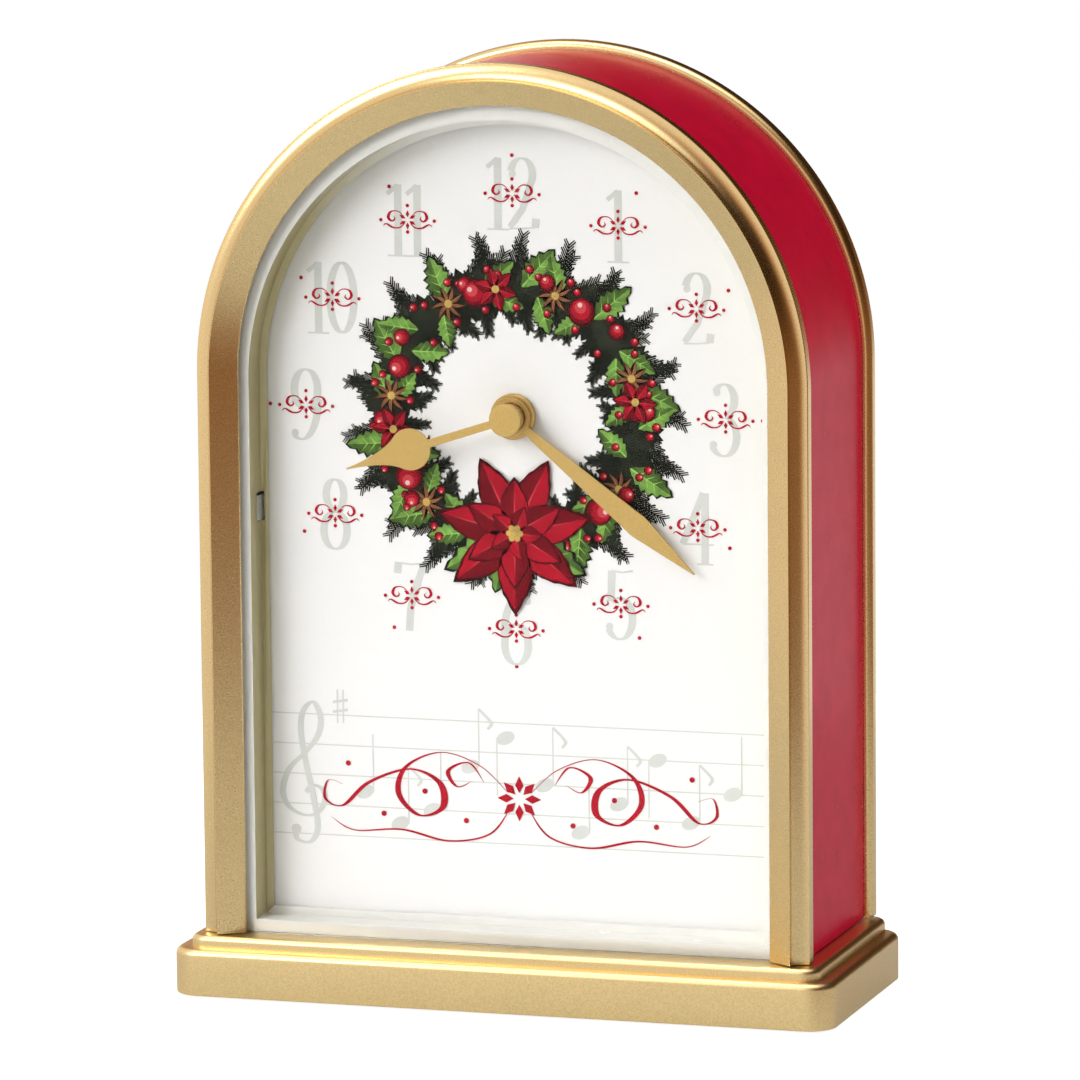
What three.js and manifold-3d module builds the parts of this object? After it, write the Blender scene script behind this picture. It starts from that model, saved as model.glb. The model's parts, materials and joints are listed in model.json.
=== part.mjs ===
// Arched musical tabletop clock. Millimetres, +Z up, the dial faces -Y.
// The origin is on the table, under the middle of the base.
import * as THREE from "three";
import { mergeVertices } from "three/addons/utils/BufferGeometryUtils.js";
import Module from "manifold-3d";

const wasm = await Module();
wasm.setup();

// Clearances
const SEAT_GAP = 0.3; // between two pieces that sit face to face
const RUN_GAP = 0.3; // round a shaft, a slider or a button that moves

// Base
const BASE_WIDTH = 222;
const BASE_DEPTH = 92;
const SLAB_TOP = 16;
const SLAB_CORNER = 9;
const SLAB_EDGE = 3;
const STEP_THICK = 3.7;
const STEP_CORNER = 6;
const STEP_SIDE_INSET = 5.2;
const STEP_FRONT_INSET = 3.9;
const FELT_THICK = 1.2;
const FELT_PROUD = 0.8; // how far the felt stands below the slab
const FELT_INSET = 8;

// Arch that the frames, the case and the dial share
const ARCH_HEIGHT = 203.3; // centre of the round top above the table
const CASE_WALL = 4;

// The frames stand this far inside the base's edges
const BASE_SIDE_MARGIN = 9.2;
const BASE_FRONT_MARGIN = 5.7;
const BASE_BACK_MARGIN = 0.6;

// Gold frames
const FRAME_OVERHANG = 2.8; // past the red case
const COVE_WIDTH = 5.4;
const BAND_WIDTH = 8.2; // flat band between the cove's crest and the inner edge
const CREST_DEPTH = 8.5; // from the crest back to the seat on the case
const SIGHT_SETBACK = 5.4; // the inner edge lies this far behind the crest
const COVE_DEPTH = 4.5;
const RIM_SOFTENING = 0.3;
const REBATE_SETBACK = 6.6; // front of the rebate that holds the crystal, behind the crest
const REBATE_WIDTH = 3.7;
const REAR_FRAME_DEPTH = 5.5;
const REAR_FRAME_ROUND = 1.4;
const REAR_COLLAR_WIDTH = 5;
const REAR_COLLAR_DEPTH = 6;
const PANEL_RECESS = 4.5; // floor of the back rebate, in front of the rear frame's back face

// Crystal, bezel and dial
const CRYSTAL_THICK = 1.6;
const BEZEL_LIP = 2.5; // of the flange that shows inside the front frame
const BEZEL_ARCH_DROP = 2.4; // the opening's round top is centred lower, so its lip widens there
const BEZEL_WALL = 1.4;
const BEZEL_FLANGE_THICK = 1.4;
const BEZEL_FLANGE_FOOT = 1.4; // lower edge of the flange above the step
const BEZEL_FLANGE_RAIL = 2.9; // width of the flange along the bottom
const BEZEL_DEPTH = 10.6; // from the flange's face back to the ledge
const LEDGE_WIDTH = 2.5;
const LEDGE_THICK = 1;
const DIAL_THICK = 1.6;
const BEZEL_SKIRT = 1.8; // the wall runs on behind the dial's back
const CLIP_HEIGHT = 8;
const CLIP_DROP = 45.3; // below the centre of the arch
const CLIP_THICK = 0.8;
const CLIP_REACH = 4; // in front of the ledge
const CLIP_TONGUE = 6;
const CLIP_SLOT = 1.1;
const CLIP_PLAY = 0.9; // of the window above the clip

// Hands, from the photograph's setting of about twenty past eight
const SHAFT_DROP = 12.9; // below the centre of the arch
const MINUTE_ANGLE = 128.6;
const HOUR_ANGLE = 251.8;
const HAND_THICK = 0.6;
const MINUTE_HAND_LENGTH = 77.6;
const MINUTE_HAND_SHOULDER = 53.8;
const MINUTE_HAND_WIDTH = 7.6;
const MINUTE_ARM_WIDTH = 2.6;
const MINUTE_RING_RADIUS = 6.3;
const MINUTE_RING_THICK = 1.4;
const HOUR_HAND_LENGTH = 56.7;
const HOUR_DISC_CENTRE = 34;
const HOUR_DISC_RADIUS = 6.8;
const HOUR_ARM_WIDTH = 2.6;
const HOUR_BOSS_RADIUS = 4.6;
const HOUR_BOSS_THICK = 4.2;
const CAP_RADIUS = 5.3;
const CAP_THICK = 1.2;

// Shafts through the dial
const HOUR_ARBOR_RADIUS = 1.9;
const MINUTE_PIPE_WALL = 1.1;
const BUSH_WALL = 1.4;
const NUT_RADIUS = 7.4;
const NUT_THICK = 2;
const WASHER_RADIUS = 10;
const WASHER_THICK = 1;

// Movement housing, measured from the shaft's axis
const HOUSING_HALF_WIDTH = 40;
const HOUSING_ABOVE = 34;
const HOUSING_BELOW = 22;
const HOUSING_DEPTH = 20;
const HOUSING_WALL = 1.6;
const COVER_THICK = 2;

// Wheels
const WHEEL_THICK = 0.8;
const MOTION_THICK = 1.6; // hour wheel and idler wheel
const IDLER_DISTANCE = 16;
const MINUTE_PINION_TEETH = 8;
const IDLER_TEETH = 24;
const IDLER_PINION_TEETH = 8;
const HOUR_WHEEL_TEETH = 32;
const IDLER_ARBOR_RADIUS = 1.2;
const DRIVE_WHEEL_RADIUS = 13.2;
const DRIVE_RATIO = 7.5; // turns of the motor's pinion for one of the minute hand
const MOTOR_BEARING = 200; // direction of the motor's pinion from the shaft, degrees
const MOTOR_THICK = 3.4;
const MOTOR_HEIGHT = 26;
const MOTOR_INNER = 11.5; // sideways from the shaft to the motor's near side
const MOTOR_OUTER = 28;
const COIL_RADIUS = 3.6;
const COIL_LENGTH = 20;
const COIL_FLANGE_RADIUS = 4.6;
const COIL_FLANGE_THICK = 1;

// Controls on the movement's back
const CONTROL_HEIGHT = 24; // above the shaft
const CONTROL_SPACING = 24;
const SETTING_KNOB_RADIUS = 8;
const SETTING_KNOB_LENGTH = 7;
const VOLUME_KNOB_RADIUS = 7;
const VOLUME_KNOB_LENGTH = 5.4;
const VOLUME_SHAFT_RADIUS = 3;
const KNOB_FLUTES = 12;
const SWITCH_TRAVEL = 5;
const SWITCH_STEM = 3;
const SWITCH_CAP = 7;
const SWITCH_CAP_HEIGHT = 3;
const BUTTON_RADIUS = 3.4;
const BUTTON_COLLAR = 1.2;
const BUTTON_COLLAR_THICK = 1;
const BUTTON_TRAVEL = 1.5;
const BUTTON_PROUD = 2.2;
const BOARD_WIDTH = 68;
const BOARD_HEIGHT = 14;
const BOARD_THICK = 1.2;
const BOARD_SETBACK = 12; // behind the housing's front face

// Cells and their tray
const CELL_RADIUS = 7.1;
const CELL_LENGTH = 49.2;
const CELL_NUB_RADIUS = 2.6;
const CELL_NUB_LENGTH = 1.2;
const TRAY_WALL = 1.5;
const TRAY_DEPTH = 16.5;
const CONTACT_THICK = 0.5;
const CONTACT_BOW = 1.4;
const CONTACT_BOW_RADIUS = 3.2;

// Back panel, door and speaker
const PANEL_THICK = 2.2;
const DOOR_HALF_WIDTH = 50;
const DOOR_BELOW_SHAFT = 68;
const DOOR_ABOVE_SHAFT = 34;
const HINGE_RADIUS = 1.1;
const HINGE_PIN_RADIUS = 0.5;
const HINGE_PIN_GAP = 0.15;
const HINGE_LEAF_THICK = 0.6;
const HINGE_LEAF_WIDTH = 9;
const HINGE_LENGTH = 60;
const DOOR_KNOB_RADIUS = 4;
const DOOR_KNOB_LENGTH = 1.9;
const CATCH_SIZE = 8;
const CATCH_THICK = 3;
const SCREW_HEAD_RADIUS = 2.6;
const SCREW_HEAD_THICK = 1.2;
const SCREW_SHANK_RADIUS = 1.2;
const SCREW_LENGTH = 7;
const SCREW_INSET = 3; // in from the panel's edge
const UPPER_SCREW_DROP = 8; // below the centre of the arch
const LOWER_SCREW_DROP = 150;
const SPEAKER_RADIUS = 33;
const SPEAKER_CENTRE = 70;
const SPEAKER_DEPTH = 15;
const SPEAKER_RIM = 3;
const SPEAKER_RIM_THICK = 1.8;
const SPEAKER_WALL = 1;
const MAGNET_RADIUS = 15;
const MAGNET_DEPTH = 9;
const CONE_THICK = 0.7;
const SLOT_HEIGHT = 3;
const SLOT_PITCH = 7;
const SLOT_ROWS = 7;
const SLOT_FIELD_RADIUS = 27;
const LEAD_RADIUS = 1;
const LEAD_START_X = 30;
const LEAD_START_DROP = 16; // below the shaft
const LEAD_START_PULL = [6, 6, -30]; // first handle of its curve
const LEAD_END_PULL = [4, -26, 8]; // second handle of its curve

// Fineness of round shapes
const ARCH_STEPS = 64; // round a full turn of the big arch
const ROUND_STEPS = 32;
const FINE_STEPS = 20;
const CORNER_STEPS = 6;
const LEAD_STEPS = 14;

// Levels that follow from the sizes above
const STEP_TOP = SLAB_TOP + SEAT_GAP + STEP_THICK;
const FOOT = STEP_TOP + SEAT_GAP;
const FRAME_RADIUS = BASE_WIDTH / 2 - BASE_SIDE_MARGIN;
const CREST_RADIUS = FRAME_RADIUS - COVE_WIDTH;
const SIGHT_RADIUS = CREST_RADIUS - BAND_WIDTH; // inner edge of the front frame
const CASE_RADIUS = FRAME_RADIUS - FRAME_OVERHANG;
const CREST = BASE_FRONT_MARGIN - BASE_DEPTH / 2;
const SIGHT = CREST + SIGHT_SETBACK;
const REBATE = CREST + REBATE_SETBACK;
const REBATE_RADIUS = SIGHT_RADIUS + REBATE_WIDTH;
const CRYSTAL_FRONT = REBATE + SEAT_GAP;
const FRONT_FRAME_BACK = CREST + CREST_DEPTH;
const CASE_FRONT = FRONT_FRAME_BACK + SEAT_GAP;
const REAR_FRAME_BACK = BASE_DEPTH / 2 - BASE_BACK_MARGIN;
const REAR_FRAME_FRONT = REAR_FRAME_BACK - REAR_FRAME_DEPTH;
const CASE_BACK = REAR_FRAME_FRONT - SEAT_GAP;
const CASE_INSIDE = CASE_RADIUS - CASE_WALL;
const PANEL_FRONT = REAR_FRAME_BACK - PANEL_RECESS + SEAT_GAP;
const PANEL_BACK = PANEL_FRONT + PANEL_THICK;
const FITTED_RADIUS = CASE_INSIDE - SEAT_GAP; // what just passes inside the case
const BEZEL_FRONT = CASE_FRONT;
const BEZEL_OPENING_RADIUS = SIGHT_RADIUS - BEZEL_LIP;
const BEZEL_ARCH_HEIGHT = ARCH_HEIGHT - BEZEL_ARCH_DROP;
const LEDGE_FRONT = BEZEL_FRONT + BEZEL_DEPTH;
const DIAL_FRONT = LEDGE_FRONT + LEDGE_THICK + SEAT_GAP;
const DIAL_BACK = DIAL_FRONT + DIAL_THICK;
const FLANGE_BOTTOM = STEP_TOP + BEZEL_FLANGE_FOOT;
const OPENING_BOTTOM = FLANGE_BOTTOM + BEZEL_FLANGE_RAIL;

const SHAFT_HEIGHT = ARCH_HEIGHT - SHAFT_DROP;
const CLIP_CENTRE = ARCH_HEIGHT - CLIP_DROP;
const DOOR_BOTTOM = SHAFT_HEIGHT - DOOR_BELOW_SHAFT;
const DOOR_TOP = SHAFT_HEIGHT + DOOR_ABOVE_SHAFT;

const WASHER_FRONT = DIAL_BACK + SEAT_GAP;
const HOUSING_FRONT = WASHER_FRONT + WASHER_THICK + SEAT_GAP;
const HOUSING_INSIDE = HOUSING_FRONT + HOUSING_WALL;
const HOUSING_BACK = HOUSING_FRONT + HOUSING_DEPTH;
const COVER_FRONT = HOUSING_BACK + SEAT_GAP;
const COVER_BACK = COVER_FRONT + COVER_THICK;
const PIPE_BORE = HOUR_ARBOR_RADIUS + RUN_GAP;
const PIPE_RADIUS = PIPE_BORE + MINUTE_PIPE_WALL;
const BUSH_BORE = PIPE_RADIUS + RUN_GAP;
const BUSH_RADIUS = BUSH_BORE + BUSH_WALL;
const BUSH_HOLE = BUSH_RADIUS + SEAT_GAP;
const NUT_BACK = DIAL_FRONT - SEAT_GAP;
const NUT_FRONT = NUT_BACK - NUT_THICK;
const MINUTE_RING_BACK = NUT_FRONT - RUN_GAP;
const MINUTE_RING_FRONT = MINUTE_RING_BACK - MINUTE_RING_THICK;
const HOUR_BOSS_BACK = MINUTE_RING_FRONT - RUN_GAP;
const HOUR_BLADE_BACK = HOUR_BOSS_BACK - HOUR_BOSS_THICK;
const HOUR_BLADE_FRONT = HOUR_BLADE_BACK - HAND_THICK;
const CAP_BACK = HOUR_BLADE_FRONT - SEAT_GAP;

// Stack of wheels behind the housing's front wall
const DRIVE_WHEEL_FRONT = HOUSING_INSIDE + RUN_GAP;
const MOTOR_FRONT = DRIVE_WHEEL_FRONT + WHEEL_THICK + 4 * RUN_GAP;
const MOTOR_BACK = MOTOR_FRONT + MOTOR_THICK;
const IDLER_FRONT = MOTOR_FRONT + 4 * RUN_GAP;
const IDLER_BACK = IDLER_FRONT + MOTION_THICK;
const HOUR_WHEEL_FRONT = IDLER_BACK + 4 * RUN_GAP;
const HOUR_WHEEL_BACK = HOUR_WHEEL_FRONT + MOTION_THICK;

const GOLD = new THREE.MeshStandardMaterial({ color: 0xd9bd7c, roughness: 0.38, metalness: 0.75 });
const BRASS = new THREE.MeshStandardMaterial({ color: 0xcaa863, roughness: 0.32, metalness: 0.95 });
const RED = new THREE.MeshStandardMaterial({ color: 0x9c1f2f, roughness: 0.3, metalness: 0 });
const WHITE = new THREE.MeshStandardMaterial({ color: 0xf1f0ea, roughness: 0.35, metalness: 0 });
const PAPER = new THREE.MeshStandardMaterial({ color: 0xfbfafa, roughness: 0.6, metalness: 0 });
const BLACK = new THREE.MeshStandardMaterial({ color: 0x1d1d1f, roughness: 0.5, metalness: 0 });
const STEEL = new THREE.MeshStandardMaterial({ color: 0xb9bbbd, roughness: 0.35, metalness: 0.95 });
const NYLON = new THREE.MeshStandardMaterial({ color: 0xe6e2d3, roughness: 0.5, metalness: 0 });
const FELT = new THREE.MeshStandardMaterial({ color: 0x3b3f3a, roughness: 0.95, metalness: 0 });
const RUBBER = new THREE.MeshStandardMaterial({ color: 0x222222, roughness: 0.85, metalness: 0 });
const BOARD = new THREE.MeshStandardMaterial({ color: 0x2f6b3d, roughness: 0.5, metalness: 0 });
const COPPER = new THREE.MeshStandardMaterial({ color: 0xb5703c, roughness: 0.35, metalness: 0.9 });
const PANEL = new THREE.MeshStandardMaterial({ color: 0x5b4636, roughness: 0.7, metalness: 0 });
const CLEAR = new THREE.MeshStandardMaterial({
  color: 0xf4f8f8,
  roughness: 0.05,
  metalness: 0,
  transparent: true,
  opacity: 0.2,
});
const CELL = new THREE.MeshStandardMaterial({ color: 0x3f5f8c, roughness: 0.4, metalness: 0.2 });

const clock = new THREE.Group();
clock.name = "arched_tabletop_clock";

function add(name, geometry, material) {
  const mesh = new THREE.Mesh(geometry, material);
  mesh.name = name;
  clock.add(mesh);
}

// Solid booleans

function solid(geometry) {
  const bare = geometry.clone();
  bare.deleteAttribute("normal");
  bare.deleteAttribute("uv");
  const merged = mergeVertices(bare, 1e-4);
  return new wasm.Manifold(
    new wasm.Mesh({
      numProp: 3,
      vertProperties: merged.attributes.position.array,
      triVerts: merged.index.array,
    }),
  );
}

function surface(body) {
  const mesh = body.getMesh();
  const geometry = new THREE.BufferGeometry();
  geometry.setAttribute("position", new THREE.BufferAttribute(mesh.vertProperties, 3));
  geometry.setIndex(new THREE.BufferAttribute(mesh.triVerts, 1));
  geometry.computeVertexNormals();
  return geometry;
}

function join(first, ...others) {
  return surface(others.reduce((body, other) => body.add(solid(other)), solid(first)));
}

function cut(first, ...others) {
  return surface(others.reduce((body, other) => body.subtract(solid(other)), solid(first)));
}

function overlap(first, second) {
  return surface(solid(first).intersect(solid(second)));
}

// Basic shapes

function block(x0, x1, y0, y1, z0, z1) {
  const box = new THREE.BoxGeometry(x1 - x0, y1 - y0, z1 - z0);
  return box.translate((x0 + x1) / 2, (y0 + y1) / 2, (z0 + z1) / 2);
}

// A plate standing in the XZ plane, from its front at y0 to its back at y1
function plate(shape, y0, y1, curveSegments = CORNER_STEPS) {
  const slab = new THREE.ExtrudeGeometry(shape, {
    depth: y1 - y0,
    bevelEnabled: false,
    curveSegments,
  });
  return slab.rotateX(Math.PI / 2).translate(0, y1, 0);
}

// A closed outline of [radius, y] points turned about an axis along Y
function turned(points, x = 0, z = 0, steps = ROUND_STEPS) {
  const outline = points.map(([radius, y]) => new THREE.Vector2(radius, y));
  if (THREE.ShapeUtils.isClockWise(outline)) outline.reverse();
  outline.push(outline[0].clone());
  const ring = new THREE.LatheGeometry(outline, steps);
  return ring.translate(x, 0, z);
}

function rod(radius, y0, y1, x = 0, z = 0, steps = ROUND_STEPS) {
  const cylinder = new THREE.CylinderGeometry(radius, radius, y1 - y0, steps);
  return cylinder.translate(x, (y0 + y1) / 2, z);
}

function tube(bore, radius, y0, y1, x = 0, z = 0, steps = ROUND_STEPS) {
  return turned(
    [
      [bore, y0],
      [radius, y0],
      [radius, y1],
      [bore, y1],
    ],
    x,
    z,
    steps,
  );
}

function archShape(radius, bottom, centre) {
  const shape = new THREE.Shape();
  shape.moveTo(-radius, bottom);
  shape.lineTo(radius, bottom);
  shape.lineTo(radius, centre);
  shape.absarc(0, centre, radius, 0, Math.PI, false);
  return shape;
}

function archPlate(radius, bottom, y0, y1, centre = ARCH_HEIGHT) {
  return plate(archShape(radius, bottom, centre), y0, y1, ARCH_STEPS / 2);
}

function dialArch(radius, bottom, y0, y1) {
  return archPlate(radius, bottom, y0, y1, BEZEL_ARCH_HEIGHT);
}

// An upside-down U with one [radius, y] section: two straight legs and a half ring
function archMember(section) {
  const ring = turned(section, 0, ARCH_HEIGHT, ARCH_STEPS);
  const reach = FRAME_RADIUS + 1;
  const upper = block(-reach, reach, -BASE_DEPTH, BASE_DEPTH, ARCH_HEIGHT, ARCH_HEIGHT + reach);
  const legs = [1, -1].map((side) => {
    const outline = new THREE.Shape(section.map(([r, y]) => new THREE.Vector2(side * r, y)));
    const leg = new THREE.ExtrudeGeometry(outline, {
      depth: ARCH_HEIGHT - FOOT,
      bevelEnabled: false,
    });
    return leg.translate(0, 0, FOOT);
  });
  return join(overlap(ring, upper), ...legs);
}

function roundedRectangle(x0, x1, y0, y1, radius) {
  const shape = new THREE.Shape();
  shape.moveTo(x0 + radius, y0);
  shape.lineTo(x1 - radius, y0);
  shape.absarc(x1 - radius, y0 + radius, radius, -Math.PI / 2, 0, false);
  shape.lineTo(x1, y1 - radius);
  shape.absarc(x1 - radius, y1 - radius, radius, 0, Math.PI / 2, false);
  shape.lineTo(x0 + radius, y1);
  shape.absarc(x0 + radius, y1 - radius, radius, Math.PI / 2, Math.PI, false);
  shape.lineTo(x0, y0 + radius);
  shape.absarc(x0 + radius, y0 + radius, radius, Math.PI, 1.5 * Math.PI, false);
  return shape;
}

// A flat board with rounded upright corners and rounded upper and lower edges
function roundedBoard(x0, x1, y0, y1, z0, z1, corner, edge) {
  const board = new THREE.ExtrudeGeometry(roundedRectangle(x0, x1, y0, y1, corner), {
    depth: z1 - z0 - 2 * edge,
    bevelThickness: edge,
    bevelSize: edge,
    bevelOffset: -edge,
    bevelSegments: 3,
    curveSegments: CORNER_STEPS / 2,
  });
  return board.translate(0, 0, z0 + edge);
}

// Base

function baseSlab() {
  const x = BASE_WIDTH / 2;
  const y = BASE_DEPTH / 2;
  const below = FELT_PROUD - 2 * SLAB_EDGE;
  const rounded = roundedBoard(-x, x, -y, y, below, SLAB_TOP, SLAB_CORNER, SLAB_EDGE);
  const under = block(-x - 1, x + 1, -y - 1, y + 1, below - 1, FELT_PROUD);
  const recess = block(
    -x + FELT_INSET - SEAT_GAP,
    x - FELT_INSET + SEAT_GAP,
    -y + FELT_INSET - SEAT_GAP,
    y - FELT_INSET + SEAT_GAP,
    0,
    FELT_THICK + SEAT_GAP,
  );
  return cut(rounded, under, recess);
}

function baseFelt() {
  const x = BASE_WIDTH / 2 - FELT_INSET;
  const y = BASE_DEPTH / 2 - FELT_INSET;
  return block(-x, x, -y, y, 0, FELT_THICK);
}

function stepBoard() {
  const x = BASE_WIDTH / 2 - STEP_SIDE_INSET;
  const front = -BASE_DEPTH / 2 + STEP_FRONT_INSET;
  const bottom = SLAB_TOP + SEAT_GAP;
  const edge = STEP_THICK / 2 - 0.01;
  return roundedBoard(-x, x, front, BASE_DEPTH / 2, bottom, STEP_TOP, STEP_CORNER, edge);
}

add("base_felt", baseFelt(), FELT);
add("base_slab", baseSlab(), GOLD);
add("step_board", stepBoard(), GOLD);

// Gold frames and red case

function frontFrame() {
  const coveWidth = COVE_WIDTH - RIM_SOFTENING;
  const cove = [];
  for (let i = 0; i <= CORNER_STEPS; i++) {
    const turn = (i / CORNER_STEPS) * (Math.PI / 2);
    const radius = CREST_RADIUS + coveWidth * (1 - Math.cos(turn));
    cove.push([radius, CREST + COVE_DEPTH * Math.sin(turn)]);
  }
  return archMember([
    [SIGHT_RADIUS, REBATE],
    [SIGHT_RADIUS, SIGHT],
    ...cove,
    [FRAME_RADIUS, CREST + COVE_DEPTH + RIM_SOFTENING],
    [FRAME_RADIUS, FRONT_FRAME_BACK],
    [REBATE_RADIUS, FRONT_FRAME_BACK],
    [REBATE_RADIUS, REBATE],
  ]);
}

function caseShell() {
  return archMember([
    [CASE_INSIDE, CASE_FRONT],
    [CASE_RADIUS, CASE_FRONT],
    [CASE_RADIUS, CASE_BACK],
    [CASE_INSIDE, CASE_BACK],
  ]);
}

const SCREW_PLACES = [LOWER_SCREW_DROP, UPPER_SCREW_DROP].flatMap((drop) => [
  [-1, ARCH_HEIGHT - drop],
  [1, ARCH_HEIGHT - drop],
]);
const SCREW_LINE = FITTED_RADIUS - SCREW_INSET;

function screwHole([side, z]) {
  const radius = SCREW_SHANK_RADIUS + SEAT_GAP;
  return rod(radius, PANEL_FRONT - SCREW_LENGTH, PANEL_BACK + 1, side * SCREW_LINE, z, FINE_STEPS / 2);
}

function rearFrame() {
  const collarInside = FITTED_RADIUS - REAR_COLLAR_WIDTH;
  const edge = [];
  for (let i = 0; i <= 3; i++) {
    const turn = (i / 3) * (Math.PI / 2);
    const radius = FRAME_RADIUS - REAR_FRAME_ROUND * (1 - Math.cos(turn));
    edge.push([radius, REAR_FRAME_BACK - REAR_FRAME_ROUND * (1 - Math.sin(turn))]);
  }
  const rebateFloor = PANEL_FRONT - SEAT_GAP;
  const frame = archMember([
    [collarInside, REAR_FRAME_FRONT - REAR_COLLAR_DEPTH],
    [FITTED_RADIUS, REAR_FRAME_FRONT - REAR_COLLAR_DEPTH],
    [FITTED_RADIUS, REAR_FRAME_FRONT],
    [FRAME_RADIUS, REAR_FRAME_FRONT],
    ...edge,
    [CASE_INSIDE, REAR_FRAME_BACK],
    [CASE_INSIDE, rebateFloor],
    [collarInside, rebateFloor],
  ]);
  return cut(frame, ...SCREW_PLACES.map(screwHole));
}

add("front_frame", frontFrame(), GOLD);
add("case_shell", caseShell(), RED);
add("rear_frame", rearFrame(), GOLD);

// Crystal, bezel and dial

function crystal() {
  const radius = REBATE_RADIUS - SEAT_GAP;
  return archPlate(radius, FOOT, CRYSTAL_FRONT, CRYSTAL_FRONT + CRYSTAL_THICK);
}

function clipWindow(side) {
  const outer = side * (BEZEL_OPENING_RADIUS + BEZEL_WALL + 1);
  const inner = side * (BEZEL_OPENING_RADIUS - CLIP_SLOT);
  const half = CLIP_HEIGHT / 2 + SEAT_GAP;
  return block(
    Math.min(outer, inner),
    Math.max(outer, inner),
    LEDGE_FRONT - CLIP_REACH - SEAT_GAP,
    DIAL_BACK + BEZEL_SKIRT + 1,
    CLIP_CENTRE - half,
    CLIP_CENTRE + half + CLIP_PLAY,
  );
}

function dialBezel() {
  const wallRadius = BEZEL_OPENING_RADIUS + BEZEL_WALL;
  const wallBottom = OPENING_BOTTOM - BEZEL_WALL;
  const wallBack = DIAL_BACK + BEZEL_SKIRT;
  const flangeBack = BEZEL_FRONT + BEZEL_FLANGE_THICK;
  const ledgeBack = LEDGE_FRONT + LEDGE_THICK;
  const ledgeRadius = BEZEL_OPENING_RADIUS - LEDGE_WIDTH;
  const flange = archPlate(FITTED_RADIUS, FLANGE_BOTTOM, BEZEL_FRONT, flangeBack);
  const wall = dialArch(wallRadius, wallBottom, BEZEL_FRONT, wallBack);
  const front = dialArch(BEZEL_OPENING_RADIUS, OPENING_BOTTOM, BEZEL_FRONT - 1, LEDGE_FRONT);
  const sight = dialArch(ledgeRadius, OPENING_BOTTOM + LEDGE_WIDTH, LEDGE_FRONT - 1, wallBack + 1);
  const pocket = dialArch(BEZEL_OPENING_RADIUS, OPENING_BOTTOM, ledgeBack, wallBack + 1);
  return cut(join(flange, wall), front, sight, pocket, clipWindow(-1), clipWindow(1));
}

function dialClip(side) {
  const face = side * BEZEL_OPENING_RADIUS;
  const back = side * (BEZEL_OPENING_RADIUS + CLIP_THICK);
  const tip = side * (BEZEL_OPENING_RADIUS - CLIP_TONGUE);
  const z0 = CLIP_CENTRE - CLIP_HEIGHT / 2;
  const z1 = CLIP_CENTRE + CLIP_HEIGHT / 2;
  const tongue = DIAL_BACK + SEAT_GAP;
  const end = tongue + CLIP_THICK;
  const front = LEDGE_FRONT - CLIP_REACH;
  return join(
    block(Math.min(face, back), Math.max(face, back), front, end, z0, z1),
    block(Math.min(tip, back), Math.max(tip, back), tongue, end, z0, z1),
  );
}

function dialPlate() {
  const radius = BEZEL_OPENING_RADIUS - SEAT_GAP;
  const blank = dialArch(radius, OPENING_BOTTOM + SEAT_GAP, DIAL_FRONT, DIAL_BACK);
  const shaftHole = rod(BUSH_HOLE, DIAL_FRONT - 1, DIAL_BACK + 1, 0, SHAFT_HEIGHT);
  return cut(blank, shaftHole, clipWindow(-1), clipWindow(1));
}

add("crystal", crystal(), CLEAR);
add("dial_bezel", dialBezel(), WHITE);
add("dial_clip_left", dialClip(-1), STEEL);
add("dial_clip_right", dialClip(1), STEEL);
add("dial_plate", dialPlate(), PAPER);

// Hands and the shafts that carry them

// A hand is drawn pointing straight up from the shaft, then turned clockwise to its angle
function placeHand(geometry, angle) {
  return geometry.rotateY(THREE.MathUtils.degToRad(angle)).translate(0, 0, SHAFT_HEIGHT);
}

function minuteBlade() {
  const root = MINUTE_ARM_WIDTH / 2;
  const wide = MINUTE_HAND_WIDTH / 2;
  const shape = new THREE.Shape();
  shape.moveTo(-root, 0);
  shape.lineTo(root, 0);
  shape.lineTo(wide, MINUTE_HAND_SHOULDER);
  shape.lineTo(0.2, MINUTE_HAND_LENGTH);
  shape.lineTo(-0.2, MINUTE_HAND_LENGTH);
  shape.lineTo(-wide, MINUTE_HAND_SHOULDER);
  const middle = (MINUTE_RING_FRONT + MINUTE_RING_BACK) / 2;
  return plate(shape, middle - HAND_THICK / 2, middle + HAND_THICK / 2);
}

function minuteHand() {
  const ring = rod(MINUTE_RING_RADIUS, MINUTE_RING_FRONT, MINUTE_RING_BACK);
  const hole = rod(PIPE_RADIUS + SEAT_GAP, MINUTE_RING_FRONT - 1, MINUTE_RING_BACK + 1);
  return placeHand(cut(join(minuteBlade(), ring), hole), MINUTE_ANGLE);
}

function hourBlade() {
  const half = HOUR_ARM_WIDTH / 2;
  const radius = HOUR_DISC_RADIUS;
  const neck = HOUR_DISC_CENTRE - Math.sqrt(radius ** 2 - half ** 2);
  const start = Math.atan2(neck - HOUR_DISC_CENTRE, half);
  const shoulder = THREE.MathUtils.degToRad(38);
  const shape = new THREE.Shape();
  shape.moveTo(-half, 0);
  shape.lineTo(half, 0);
  shape.lineTo(half, neck);
  shape.absarc(0, HOUR_DISC_CENTRE, radius, start, shoulder, false);
  const waist = HOUR_DISC_CENTRE + radius * 1.25;
  shape.quadraticCurveTo(radius * 0.22, waist, 0.2, HOUR_HAND_LENGTH);
  shape.lineTo(-0.2, HOUR_HAND_LENGTH);
  const left = Math.PI - shoulder;
  const leftX = radius * Math.cos(left);
  const leftY = HOUR_DISC_CENTRE + radius * Math.sin(left);
  shape.quadraticCurveTo(-radius * 0.22, waist, leftX, leftY);
  shape.absarc(0, HOUR_DISC_CENTRE, radius, left, Math.PI - start, false);
  return plate(shape, HOUR_BLADE_FRONT, HOUR_BLADE_BACK, CORNER_STEPS + 2);
}

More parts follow.
